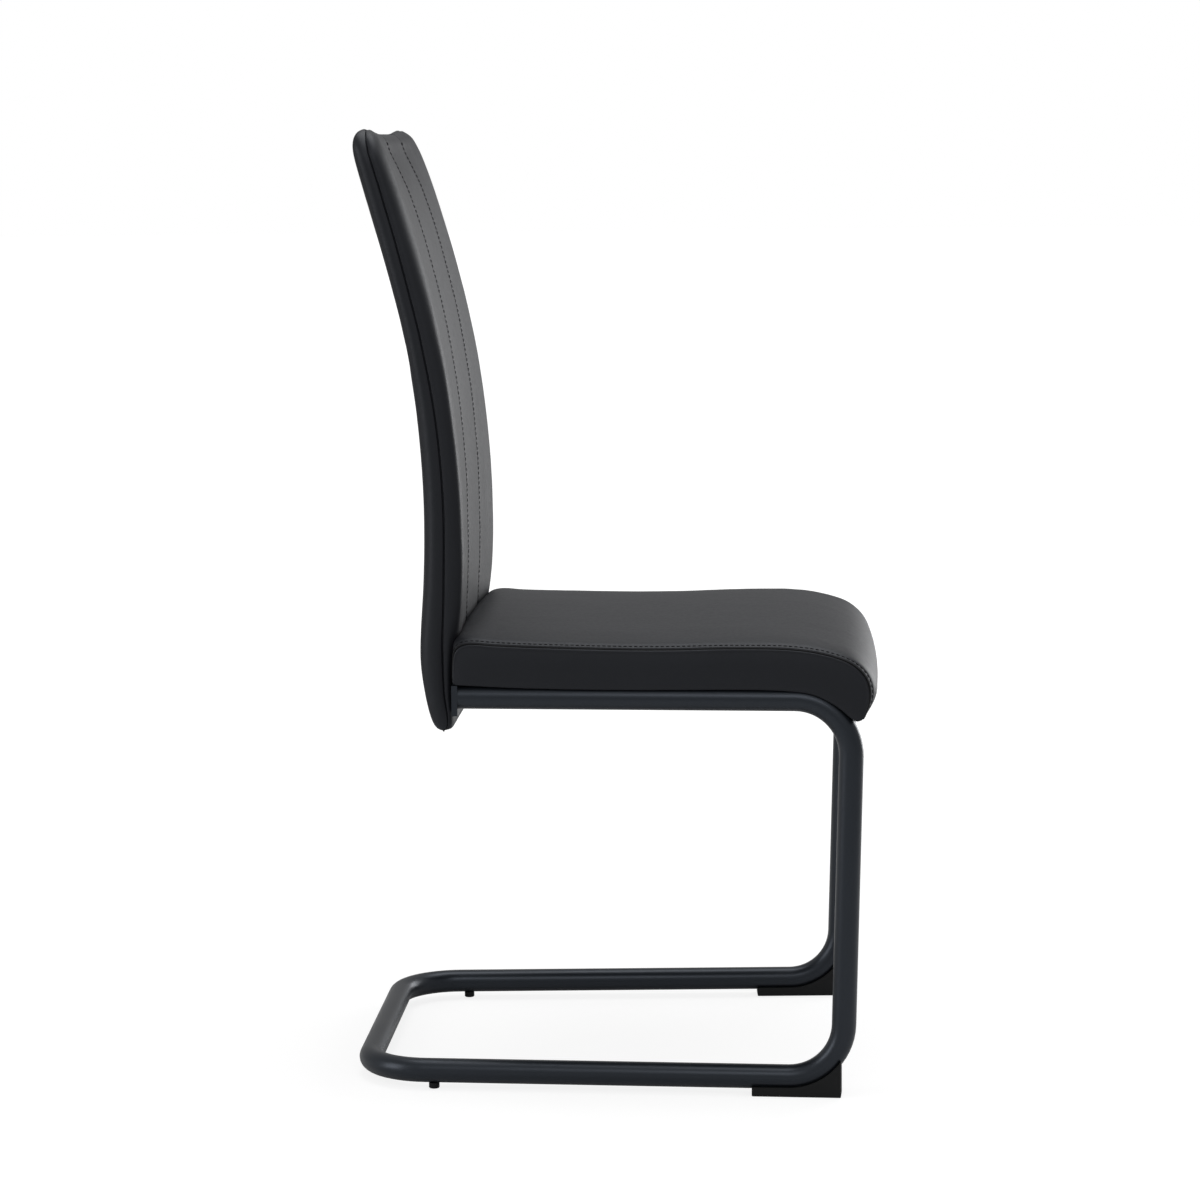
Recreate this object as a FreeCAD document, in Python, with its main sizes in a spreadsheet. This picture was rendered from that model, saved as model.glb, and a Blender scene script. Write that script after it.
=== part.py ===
import FreeCAD
import Part
import Sketcher
import math
import os

from FreeCAD import Placement, Rotation, Vector

# Cantilever dining chair, in millimetres. Z is up, the sitter faces -Y, and left is the sitter's left, +X.
# The origin is on the floor, under the middle of the chair's bounding box.

DOC = FreeCAD.newDocument("CantileverChair")
SHEET = DOC.addObject("Spreadsheet::Sheet", "Dimensions")
LEFT = 1
RIGHT = -1

# Driving dimensions: name, millimetres or degrees, and what the size is.
SIZES = [
    ("tube_diameter", 25, "round steel tube of the frame"),
    ("tube_wall", 1.5, "wall of the tube"),
    ("front_half_width", 228.5, "middle plane to tube axis at the front legs"),
    ("side_taper", 3.1, "degrees by which each side runs in towards the rear"),
    ("base_rail_length", 494.5, "front corner to rear corner of the tube axis, along a base rail"),
    ("seat_rail_length", 402, "top corner of a leg to the rear end of its seat rail"),
    ("leg_lean", 10.7, "how far the top corner of a leg stands in front of its foot corner"),
    ("glide_height", 6, "floor to the underside of the base rails"),
    ("rail_height", 390.8, "base rail axis to seat rail axis"),
    ("front_bend_radius", 57, "bends above and below the front legs"),
    ("rear_bend_radius", 67, "bends between base rails and rear cross tube"),
    ("foot_length", 91, "length of a front foot on the floor"),
    ("foot_front", 1.3, "front face of a foot behind the frame's front corner"),
    ("foot_width", 25, "width of a front foot"),
    ("foot_cup", 3.5, "how far the sides of a foot rise beside the tube"),
    ("foot_chamfer", 0.8, "bevel round the sole of a foot or glide"),
    ("foot_screw_place", 78, "screw of a foot behind the frame's front corner"),
    ("screw_diameter", 4, "shank of the screws that hold the front feet"),
    ("screw_head_diameter", 7.5, "countersunk head of the same screws"),
    ("screw_length", 13, "length of the same screws"),
    ("glide_diameter", 11, "foot disc of a rear glide"),
    ("glide_stem_diameter", 5, "stem of a glide, pressed into the tube"),
    ("glide_stem_length", 4.5, "length of that stem above the disc"),
    ("glide_place", 422, "glide behind the frame's front corner, along the rail"),
    ("plate_thickness", 6, "upright plate across the rear ends of the seat rails"),
    ("plate_drop", 6, "plate below the underside of the seat rails"),
    ("shelf_depth", 35, "flat leg of the rear angle, under the seat board"),
    ("shelf_thickness", 5, "thickness of that leg"),
    ("crossbar_depth", 30, "front cross bar, front to rear"),
    ("crossbar_thickness", 4, "front cross bar"),
    ("crossbar_place", 140, "front cross bar behind the leg's top corner"),
    ("bolt_diameter", 6, "shank of the bolts that hold seat and back"),
    ("bolt_head_diameter", 10.5, "button head of the same bolts"),
    ("bolt_head_height", 3.6, "button head of the same bolts"),
    ("bolt_head_flat", 6.3, "flat of the head round its socket"),
    ("bolt_socket", 4, "across the flats of the hexagon socket"),
    ("bolt_socket_depth", 2.2, "depth of the socket"),
    ("washer_diameter", 14, "washer under each bolt head"),
    ("washer_thickness", 1.5, "washer under each bolt head"),
    ("tee_nut_flange", 18, "flange of the tee nuts in the boards"),
    ("tee_nut_barrel", 8, "barrel of the tee nuts"),
    ("tee_nut_plate", 1.2, "thickness of the tee nut flange"),
    ("tee_nut_length", 8, "barrel of the tee nuts below the flange"),
    ("seat_bolt_half_pitch", 120, "middle plane to a seat bolt"),
    ("back_bolt_inner", 60, "middle plane to an inner bolt of the back"),
    ("back_bolt_outer", 150, "middle plane to an outer bolt of the back"),
    ("back_bolt_drop", 17.5, "bolts of the back below the top of the seat rails"),
    ("board_thickness", 10, "moulded plywood of the seat"),
    ("board_margin", 8, "seat board inside the side covers"),
    ("board_corner", 24, "rounded rear corners of the seat board"),
    ("board_hook_angle", 48, "degrees of the front bend that the seat board follows"),
    ("cloth_thickness", 0.6, "non-woven dust cover below the seat"),
    ("cover_thickness", 1.2, "coated upholstery cover"),
    ("seat_overhang", 11.5, "seat side outside the tube axis"),
    ("seat_seam_height", 462.5, "seam along the side of the seat above the floor"),
    ("seat_crown", 12, "middle of the seat above its side seam"),
    ("seat_nose", 28, "side seam's front point before the frame's front corner"),
    ("seat_nose_height", 421, "height of that point"),
    ("seat_roll_start", 64, "where the front roll begins behind the frame's front corner"),
    ("seat_lip_height", 388, "lower edge of the seat's front lip"),
    ("seat_roll_radius", 195, "front roll of the seat, from its top to its shoulder"),
    ("seat_lip_run", 8, "lower edge of the lip behind the seat's front point"),
    ("seat_rear_round", 9, "rounded top edge at the rear of the seat"),
    ("seat_skirt", 3, "side covers below the top of the seat rails"),
    ("back_height", 984, "top edge of the back above the floor"),
    ("back_bottom", 372, "bottom edge of the back above the floor"),
    ("back_half_width", 197, "middle plane to the side of the back"),
    ("back_lean", 15.6, "degrees by which the upper back leans from upright"),
    ("back_bend_radius", 1010, "curve of the back's front in side view"),
    ("lumbar_height", 568, "height of the back's foremost point"),
    ("lumbar_place", 386, "that point behind the frame's front corner"),
    ("lumbar_thickness", 40, "thickness of the back there"),
    ("back_tail_thickness", 24, "thickness of the back at its bottom edge"),
    ("back_tail_start", 4, "top of the seat rails to where the back turns upright"),
    ("back_thin_start", 25, "where the back begins to thin, above its upright part"),
    ("back_foam_start", 8, "lower edge of the front foam above the upright part"),
    ("back_side_round", 12, "rounded side edges of the back"),
    ("back_bottom_round", 12, "rounded bottom edge of the back, measured up its rear"),
    ("back_bottom_front", 5, "bottom edge behind the front of the back"),
    ("back_bottom_rear", 9, "bottom edge before the rear of the back"),
    ("back_bottom_side", 10, "bottom edge inside the sides of the back"),
    ("back_corner", 32, "rounding of the back's upper corners"),
    ("back_roll", 36, "rounded top edge of the back, measured down its front"),
    ("back_hollow", 5, "middle of the back behind its side edges"),
    ("panel_half_width", 71, "middle plane to a seam of the back's front"),
    ("panel_crown", 2.5, "how far each front panel swells between its seams"),
    ("shell_thickness", 12, "moulded plywood inside the back"),
    ("shell_margin", 14, "plywood inside the side of the back"),
    ("shell_top_gap", 40, "plywood below the top edge of the back"),
    ("shell_corner", 40, "rounded upper corners of the plywood"),
    ("fit_gap", 0.1, "gap between pieces that lie on each other"),
    ("soft_gap", 0.3, "gap between upholstery and the steel that it lies on"),
    ("seat_back_gap", 0.6, "gap between seat and back"),
    ("hole_clearance", 0.6, "clearance hole wider than its bolt"),
]


def fill_sheet():
    """Writes each driving dimension into a cell and gives the cell its name."""
    for row, (name, value, note) in enumerate(SIZES, start=1):
        SHEET.set(f"A{row}", name)
        SHEET.set(f"B{row}", str(value))
        SHEET.set(f"C{row}", note)
        SHEET.setAlias(f"B{row}", name)
    DOC.recompute()


class Measure:
    """A length that knows both its number and its expression over the sheet."""

    def __init__(self, value, text=None):
        self.value = float(value)
        self.text = text or repr(self.value)

    def join(self, sign, other, value):
        return Measure(value, f"({self.text} {sign} {other.text})")

    def __add__(self, other):
        other = measure(other)
        return self.join("+", other, self.value + other.value)

    def __sub__(self, other):
        other = measure(other)
        return self.join("-", other, self.value - other.value)

    def __mul__(self, other):
        other = measure(other)
        return self.join("*", other, self.value * other.value)

    def __truediv__(self, other):
        other = measure(other)
        return self.join("/", other, self.value / other.value)

    def __neg__(self):
        return Measure(-self.value, f"(-1 * {self.text})")

    def root(self):
        return Measure(math.sqrt(self.value), f"sqrt({self.text})")

    def sine(self):
        return Measure(math.sin(math.radians(self.value)), f"sin({self.text})")

    def cosine(self):
        return Measure(math.cos(math.radians(self.value)), f"cos({self.text})")


def measure(number):
    return number if isinstance(number, Measure) else Measure(number)


def size(name):
    """The named cell of the sheet."""
    return Measure(SHEET.get(name), "Dimensions." + name)


fill_sheet()
D = {name: size(name) for name, _, _ in SIZES}
N = {name: D[name].value for name in D}

# Derived sizes that several pieces share.
TUBE_R = D["tube_diameter"] / 2
BASE_Z = D["glide_height"] + TUBE_R
RAIL_Z = BASE_Z + D["rail_height"]
RAIL_TOP = RAIL_Z + TUBE_R
RAIL_BOTTOM = RAIL_Z - TUBE_R
CLOTH_Z = RAIL_TOP + D["fit_gap"]
BOARD_Z = CLOTH_Z + D["cloth_thickness"] + D["fit_gap"]
BOARD_TOP = BOARD_Z + D["board_thickness"]
HOLE = D["bolt_diameter"] + D["hole_clearance"]
BARREL_HOLE = D["tee_nut_barrel"] + D["fit_gap"] * 2
FRONT_EDGE = D["seat_nose"] + D["seat_crown"]
REAR_EDGE = D["base_rail_length"] * D["side_taper"].cosine() + TUBE_R
FRONT_CORNER_Y = -((REAR_EDGE - FRONT_EDGE) / 2)
PLATE_Y = FRONT_CORNER_Y + (D["seat_rail_length"] - D["leg_lean"]) * D["side_taper"].cosine()
PLATE_REAR_Y = PLATE_Y + D["plate_thickness"]
CROSSBAR_Y = FRONT_CORNER_Y + D["crossbar_place"] - D["leg_lean"]
BOARD_REAR_Y = PLATE_Y - D["board_margin"] / 2
BACK_BOLT_Z = RAIL_TOP - D["back_bolt_drop"]
SHELL_FRONT_Y = PLATE_REAR_Y + D["soft_gap"] + D["cover_thickness"] + D["fit_gap"] * 4
SHELL_REAR_Y = SHELL_FRONT_Y + D["shell_thickness"]

# A quarter arc's middle lies at this share of its radius along both axes.
QUARTER = math.sqrt(0.5)
TAPER = math.radians(N["side_taper"])
LEAN = math.atan(N["leg_lean"] / N["rail_height"])
Y0 = FRONT_CORNER_Y.value
# Axis of the bend above a front leg, as seen from the side: behind the front corner, and above the floor.
TOP_BEND_Z = RAIL_Z.value - N["front_bend_radius"]
TOP_BEND_Y = (
    -N["leg_lean"] + math.tan(LEAN) * N["front_bend_radius"] + N["front_bend_radius"] / math.cos(LEAN)
)
# The same for the bend below the leg.
LOW_BEND_Y = N["front_bend_radius"] / math.cos(LEAN) - math.tan(LEAN) * N["front_bend_radius"]


# Sketches and bodies.


def origin_plane(body, role):
    return next(item for item in body.Origin.OriginFeatures if item.Role == role)


def new_body(label):
    body = DOC.addObject("PartDesign::Body", label)
    body.Label = label
    return body


def new_sketch(body, name, role, offset=None):
    sketch = body.newObject("Sketcher::SketchObject", name)
    sketch.AttachmentSupport = [(origin_plane(body, role), "")]
    sketch.MapMode = "FlatFace"
    if offset is not None:
        sketch.setExpression("AttachmentOffset.Base.z", offset.text)
    return sketch


def bind(sketch, kind, *places, to):
    """Adds a constraint and ties its value to a measure."""
    number = sketch.addConstraint(Sketcher.Constraint(kind, *places, to.value))
    sketch.setExpression(f"Constraints[{number}]", to.text)


def pin(sketch, geometry, end, x, y):
    """Holds one point of a sketch at x and y, each a measure or a plain nought for the axis."""
    for kind, axis, place in (("DistanceX", -2, x), ("DistanceY", -1, y)):
        if isinstance(place, Measure):
            bind(sketch, kind, -1, 1, geometry, end, to=place)
        else:
            sketch.addConstraint(Sketcher.Constraint("PointOnObject", geometry, end, axis))


def arc_through(start, end, radius):
    """The arc of under a half circle from start to end, bulging to the left of travel for a positive radius.

    A sketch keeps its arcs anticlockwise, so one that bulges to the left is drawn from end to start.
    """
    chord = end - start
    half = chord.Length / 2
    rise = abs(radius) - math.sqrt(radius * radius - half * half)
    left = Vector(-chord.y, chord.x, 0).normalize()
    middle = (start + end) / 2 + left * math.copysign(rise, radius)
    return Part.Arc(end, middle, start) if radius > 0 else Part.Arc(start, middle, end)


def outline(sketch, corners, arcs=None):
    """A closed outline through corners; arcs gives the signed radius of the edges that are arcs.

    Edge i runs from corner i to the next. Each corner is a pair of measures, or a plain nought on an axis.
    """
    arcs = arcs or {}
    first = len(sketch.Geometry)
    points = [Vector(measure(x).value, measure(y).value, 0) for x, y in corners]
    count = len(points)
    drawn_back = [i in arcs and arcs[i].value > 0 for i in range(count)]
    for i, start in enumerate(points):
        end = points[(i + 1) % count]
        edge = arc_through(start, end, arcs[i].value) if i in arcs else Part.LineSegment(start, end)
        sketch.addGeometry(edge)
    for i, (x, y) in enumerate(corners):
        before = (i - 1) % count
        leaving = 2 if drawn_back[i] else 1
        arriving = 1 if drawn_back[before] else 2
        sketch.addConstraint(
            Sketcher.Constraint("Coincident", first + before, arriving, first + i, leaving)
        )
        pin(sketch, first + i, leaving, x, y)
    for i, radius in arcs.items():
        bind(sketch, "Radius", first + i, to=Measure(abs(radius.value), f"abs({radius.text})"))


def circle(sketch, x, y, diameter):
    """A full circle about x and y."""
    centre = Vector(measure(x).value, measure(y).value, 0)
    number = sketch.addGeometry(Part.Circle(centre, Vector(0, 0, 1), diameter.value / 2))
    pin(sketch, number, 3, x, y)
    bind(sketch, "Diameter", number, to=diameter)


def pad(body, sketch, length, middle=False, reverse=False):
    feature = body.newObject("PartDesign::Pad", sketch.Name + "Pad")
    feature.Profile = sketch
    feature.setExpression("Length", length.text)
    feature.SideType = "Symmetric" if middle else "One side"
    feature.Reversed = reverse
    sketch.Visibility = False
    return feature


def cut_through(body, sketch):
    """A pocket through all, both ways, that must take material away."""
    DOC.recompute()
    before = body.Shape.Volume
    feature = body.newObject("PartDesign::Pocket", sketch.Name + "Pocket")
    feature.Profile = sketch
    feature.SideType = "Symmetric"
    feature.Type = "ThroughAll"
    DOC.recompute()
    if body.Shape.Volume >= before:
        raise ValueError(f"{sketch.Name} cuts nothing")
    return feature


def revolve(body, sketch):
    """Turns an outline, drawn with its radius along X and its axis along Y, about that axis."""
    feature = body.newObject("PartDesign::Revolution", sketch.Name + "Turn")
    feature.Profile = sketch
    feature.ReferenceAxis = (sketch, ["V_Axis"])
    feature.Angle = 360
    return feature


def ease(body, kind, value, wanted):
    """Fillets or chamfers the edges of a body's last shape for which wanted(edge) is true."""
    DOC.recompute()
    names = [f"Edge{i}" for i, edge in enumerate(body.Shape.Edges, start=1) if wanted(edge)]
    if not names:
        raise ValueError(f"{body.Label} has no edge to ease")
    base = body.Tip
    feature = body.newObject("PartDesign::" + kind, body.Label + kind)
    feature.Base = (base, names)
    feature.setExpression("Radius" if kind == "Fillet" else "Size", value.text)
    DOC.recompute()
    return feature


def set_shape(label, shape):
    item = DOC.addObject("Part::Feature", label)
    item.Label = label
    item.Shape = shape
    return item


def group(label, item, places):
    """Separate copies of a small fastener, together in one node."""
    copies = []
    for place in places:
        copy = item.Shape.copy()
        copy.Placement = place
        copies.append(copy)
    return set_shape(label, Part.makeCompound(copies))


def side_place(side, along=0.0, height=0.0):
    """The frame of one side of the chair: its Y runs to the rear along the base rail."""
    y = Y0 + along * math.cos(TAPER)
    x = side * (N["front_half_width"] - along * math.sin(TAPER))
    return Placement(Vector(x, y, height), Rotation(Vector(0, 0, 1), side * N["side_taper"]))


def name_of(side):
    return "left" if side == LEFT else "right"


# Frame: one bent tube from the rear end of one seat rail to that of the other.


def bent_wire(points, radii):
    """Straight runs through points, with a tangent arc of each radius at the inner ones."""
    edges = []
    start = points[0]
    for i, radius in enumerate(radii, start=1):
        back = (points[i - 1] - points[i]).normalize()
        ahead = (points[i + 1] - points[i]).normalize()
        half_angle = back.getAngle(ahead) / 2
        reach = radius / math.tan(half_angle)
        enter = points[i] + back * reach
        leave = points[i] + ahead * reach
        centre = points[i] + (back + ahead).normalize() * (radius / math.sin(half_angle))
        middle = centre + (points[i] - centre).normalize() * radius
        edges.append(Part.LineSegment(start, enter).toShape())
        edges.append(Part.Arc(enter, middle, leave).toShape())
        start = leave
    edges.append(Part.LineSegment(start, points[-1]).toShape())
    return Part.Wire(edges)


def side_points(side):
    """Corners of the tube's axis on one side, from the rear end of the seat rail to the rear of the base."""
    rail_end = N["seat_rail_length"] - N["leg_lean"] + TUBE_R.value * math.tan(TAPER)
    corners = [
        (rail_end, RAIL_Z.value),
        (-N["leg_lean"], RAIL_Z.value),
        (0.0, BASE_Z.value),
        (N["base_rail_length"], BASE_Z.value),
    ]
    return [side_place(side, along, z).Base for along, z in corners]


def sweep(name, path, radius):
    """A rod of the given radius along the whole path."""
    profile = DOC.addObject("Part::Circle", name + "Circle")
    profile.setExpression("Radius", radius.text)
    first = path.Shape.Edges[0]
    start = first.valueAt(first.FirstParameter)
    profile.Placement = Placement(start, Rotation(Vector(0, 0, 1), first.tangentAt(first.FirstParameter)))
    rod = DOC.addObject("Part::Sweep", name)
    rod.Sections = [profile]
    rod.Spine = (path, [f"Edge{i + 1}" for i in range(len(path.Shape.Edges))])
    rod.Solid = True
    rod.Frenet = False
    return rod


def rail_trim():
    """Everything behind the front of the rear plate, at the height of the seat rails."""
    box = DOC.addObject("Part::Box", "RailTrim")
    box.setExpression("Length", (D["front_half_width"] * 2).text)
    box.setExpression("Width", D["tube_diameter"].text)
    box.setExpression("Height", (D["tube_diameter"] * 2).text)
    box.Placement = Placement(
        Vector(-N["front_half_width"], PLATE_Y.value, RAIL_Z.value - N["tube_diameter"]), Rotation()
    )
    return box


def drill(name, place, diameter, length):
    """A round cutter that stands on place along its Z."""
    tool = DOC.addObject("Part::Cylinder", name)
    tool.setExpression("Radius", (diameter / 2).text)
    tool.setExpression("Height", length.text)
    tool.Placement = place
    return tool


def make_frame():
    """The hollow tube, with holes for the glides' stems and the feet's screws in its underside."""
    corners = side_points(RIGHT) + side_points(LEFT)[::-1]
    bend, rear = N["front_bend_radius"], N["rear_bend_radius"]
    path = set_shape("frame_path", bent_wire(corners, [bend, bend, rear, rear, bend, bend]))
    outside = sweep("TubeOutside", path, TUBE_R)
    inside = sweep("TubeInside", path, TUBE_R - D["tube_wall"])
    holes = []
    for side in (LEFT, RIGHT):
        for what, along, diameter in (
            ("Stem", N["glide_place"], D["glide_stem_diameter"] + D["fit_gap"] * 2),
            ("Screw", N["foot_screw_place"], D["screw_diameter"] + D["fit_gap"] * 2),
        ):
            place = side_place(side, along)
            holes.append(drill(f"{what}Hole{name_of(side)}", place, diameter, BASE_Z))
    bore = DOC.addObject("Part::MultiFuse", "TubeBore")
    bore.Shapes = [inside, rail_trim()] + holes
    tube = DOC.addObject("Part::Cut", "tube_frame")
    tube.Label = "tube_frame"
    tube.Base = outside
    tube.Tool = bore
    space = sweep("TubeSpace", path, TUBE_R + D["fit_gap"])
    return tube, space


# Feet and glides.


def is_on_floor(edge):
    return edge.BoundBox.ZMax < 0.01


def make_foot(side, space):
    """A moulded wedge whose hollow top cups the underside of the front bend."""
    body = new_body(f"Foot{name_of(side)}Block")
    radius = D["front_bend_radius"] + TUBE_R - D["foot_cup"]
    bend_y = Measure(LOW_BEND_Y)
    bend_z = BASE_Z + D["front_bend_radius"]
    run = bend_y - D["foot_front"]
    tip = bend_z - (radius * radius - run * run).root()
    shelf = BASE_Z - TUBE_R + D["foot_cup"]
    rear = D["foot_front"] + D["foot_length"]
    profile = new_sketch(body, f"Foot{name_of(side)}", "YZ_Plane")
    corners = [(D["foot_front"], 0), (rear, 0), (rear, shelf), (bend_y, shelf), (D["foot_front"], tip)]
    outline(profile, corners, {3: radius})
    pad(body, profile, D["foot_width"], middle=True)
    ease(body, "Chamfer", D["foot_chamfer"], is_on_floor)
    hole = new_sketch(body, f"FootHole{name_of(side)}", "XY_Plane")
    circle(hole, 0, D["foot_screw_place"], D["screw_diameter"] + D["fit_gap"] * 2)
    cut_through(body, hole)
    body.Placement = side_place(side)
    cone = DOC.addObject("Part::Cone", f"FootSink{name_of(side)}")
    cone.setExpression("Radius1", ((D["screw_head_diameter"] + D["fit_gap"] * 4) / 2).text)
    cone.setExpression("Radius2", ((D["screw_diameter"] + D["fit_gap"] * 2) / 2).text)
    cone.setExpression("Height", ((D["screw_head_diameter"] - D["screw_diameter"]) / 2).text)
    cone.Placement = side_place(side, N["foot_screw_place"])
    tools = DOC.addObject("Part::MultiFuse", f"FootTools{name_of(side)}")
    tools.Shapes = [space, cone]
    foot = DOC.addObject("Part::Cut", f"front_foot_{name_of(side)}")
    foot.Label = f"front_foot_{name_of(side)}"
    foot.Base = body
    foot.Tool = tools
    return foot


def make_screws():
    """Countersunk self-tapping screws, one up through each foot into the tube."""
    body = new_body("FootScrew")
    shank = D["screw_diameter"] / 2
    head = D["screw_head_diameter"] / 2
    inset = D["fit_gap"] * 4
    neck = inset + head - shank
    tip = D["screw_length"]
    profile = new_sketch(body, "ScrewProfile", "XZ_Plane")
    outline(profile, [(0, inset), (head, inset), (shank, neck), (shank, tip - shank), (0, tip)])
    revolve(body, profile)
    DOC.recompute()
    places = [side_place(side, N["foot_screw_place"]) for side in (LEFT, RIGHT)]
    return group("front_foot_screws", body, places)


def make_glide(side):
    """A round plastic glide with a stem pushed into the underside of the base rail."""
    body = new_body(f"rear_glide_{name_of(side)}")
    disc = D["glide_diameter"] / 2
    stem = D["glide_stem_diameter"] / 2
    seat = D["glide_height"] - D["fit_gap"]
    top = seat + D["glide_stem_length"]
    edge = D["foot_chamfer"]
    profile = new_sketch(body, f"Glide{name_of(side)}", "XZ_Plane")
    sole = [(0, 0), (disc - edge, 0), (disc, edge)]
    outline(profile, sole + [(disc, seat), (stem, seat), (stem, top), (0, top)])
    revolve(body, profile)
    body.Placement = side_place(side, N["glide_place"])
    return body


# Steel angle and bar welded between the seat rails.


def rail_x(y):
    """Middle plane to the axis of a seat rail at y."""
    return D["front_half_width"] - (y - FRONT_CORNER_Y) * (D["side_taper"].sine() / D["side_taper"].cosine())


def make_rear_angle():
    """A welded angle: the upright plate takes the back's bolts, the flat leg the rear seat bolts."""
    body = new_body("rear_angle")
    plate_half = rail_x(PLATE_Y) + TUBE_R
    bottom = RAIL_BOTTOM - D["plate_drop"]
    plate = new_sketch(body, "AnglePlate", "XZ_Plane", -PLATE_Y)
    lower = [(-plate_half, bottom), (plate_half, bottom)]
    outline(plate, lower + [(plate_half, RAIL_TOP), (-plate_half, RAIL_TOP)])
    pad(body, plate, D["plate_thickness"], reverse=True)
    shelf = new_sketch(body, "AngleShelf", "XY_Plane", RAIL_TOP)
    front = PLATE_Y - D["shelf_depth"]
    # The ends stop where the round of the tube meets the lower face of the shelf.
    rise = TUBE_R - D["shelf_thickness"]
    bulge = (TUBE_R * TUBE_R - rise * rise).root() + D["fit_gap"]
    wide = rail_x(front) - bulge
    narrow = rail_x(PLATE_Y) - bulge
    outline(shelf, [(-wide, front), (wide, front), (narrow, PLATE_Y), (-narrow, PLATE_Y)])
    pad(body, shelf, D["shelf_thickness"], reverse=True)
    seat_holes = new_sketch(body, "AngleSeatHoles", "XY_Plane")
    for side in (LEFT, RIGHT):
        circle(seat_holes, D["seat_bolt_half_pitch"] * side, PLATE_Y - D["shelf_depth"] / 2, HOLE)
    cut_through(body, seat_holes)
    back_holes = new_sketch(body, "AngleBackHoles", "XZ_Plane")
    for x in (D["back_bolt_inner"], D["back_bolt_outer"]):
        for side in (LEFT, RIGHT):
            circle(back_holes, x * side, BACK_BOLT_Z, HOLE)
    cut_through(body, back_holes)
    return body


def make_crossbar():
    """A flat bar welded between the rails near the front, with the two front seat bolts."""
    body = new_body("front_crossbar")
    bar = new_sketch(body, "BarPlan", "XY_Plane", RAIL_TOP)
    front = CROSSBAR_Y - D["crossbar_depth"] / 2
    rear = CROSSBAR_Y + D["crossbar_depth"] / 2
    rise = TUBE_R - D["crossbar_thickness"]
    bulge = (TUBE_R * TUBE_R - rise * rise).root() + D["fit_gap"]
    wide = rail_x(front) - bulge
    narrow = rail_x(rear) - bulge
    outline(bar, [(-wide, front), (wide, front), (narrow, rear), (-narrow, rear)])
    pad(body, bar, D["crossbar_thickness"], reverse=True)
    holes = new_sketch(body, "BarHoles", "XY_Plane")
    for side in (LEFT, RIGHT):
        circle(holes, D["seat_bolt_half_pitch"] * side, CROSSBAR_Y, HOLE)
    cut_through(body, holes)
    return body


SEAT_BOLTS = [
    (side * N["seat_bolt_half_pitch"], y, thickness)
    for y, thickness in (
        (CROSSBAR_Y.value, N["crossbar_thickness"]),
        ((PLATE_Y - D["shelf_depth"] / 2).value, N["shelf_thickness"]),
    )
    for side in (LEFT, RIGHT)
]
BACK_BOLTS = [side * x for x in (N["back_bolt_inner"], N["back_bolt_outer"]) for side in (LEFT, RIGHT)]


# Bolts, washers and tee nuts.


def make_bolt(label, length):
    """A button head bolt, head down at the origin, its shank up along Z."""
    body = new_body(label)
    profile = new_sketch(body, label + "Profile", "XZ_Plane")
    shank = D["bolt_diameter"] / 2
    head = D["bolt_head_diameter"] / 2
    crown = D["bolt_head_flat"] / 2
    height = D["bolt_head_height"]
    corners = [(0, -height), (crown, -height), (head, 0), (shank, 0), (shank, length), (0, length)]
    outline(profile, corners, {1: -head})
    revolve(body, profile)
    socket = new_sketch(body, label + "Socket", "XY_Plane", -height)
    corner = D["bolt_socket"] / Measure(math.sqrt(3))
    half = D["bolt_socket"] / 2
    upper = [(corner, 0), (corner / 2, half), (-(corner / 2), half)]
    outline(socket, upper + [(-corner, 0), (-(corner / 2), -half), (corner / 2, -half)])
    DOC.recompute()
    before = body.Shape.Volume
    pocket = body.newObject("PartDesign::Pocket", label + "SocketPocket")
    pocket.Profile = socket
    pocket.Reversed = True
    pocket.setExpression("Length", D["bolt_socket_depth"].text)
    DOC.recompute()
    if body.Shape.Volume >= before:
        raise ValueError("the socket cuts nothing")
    return body


def make_washer():
    body = new_body("WasherShape")
    plan = new_sketch(body, "WasherPlan", "XY_Plane")
    circle(plan, 0, 0, D["washer_diameter"])
    circle(plan, 0, 0, HOLE)
    pad(body, plan, D["washer_thickness"])
    DOC.recompute()
    return body


def make_tee_nut():
    """Flange at the origin, barrel down along -Z, with the bolt's clearance through both."""
    body = new_body("TeeNutShape")
    profile = new_sketch(body, "TeeNutProfile", "XZ_Plane")
    bore = D["bolt_diameter"] / 2 + D["fit_gap"]
    barrel = D["tee_nut_barrel"] / 2
    flange = D["tee_nut_flange"] / 2
    top = D["tee_nut_plate"]
    bottom = -D["tee_nut_length"]
    outline(profile, [(bore, bottom), (barrel, bottom), (barrel, 0), (flange, 0), (flange, top), (bore, top)])
    revolve(body, profile)
    DOC.recompute()
    return body


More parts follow.
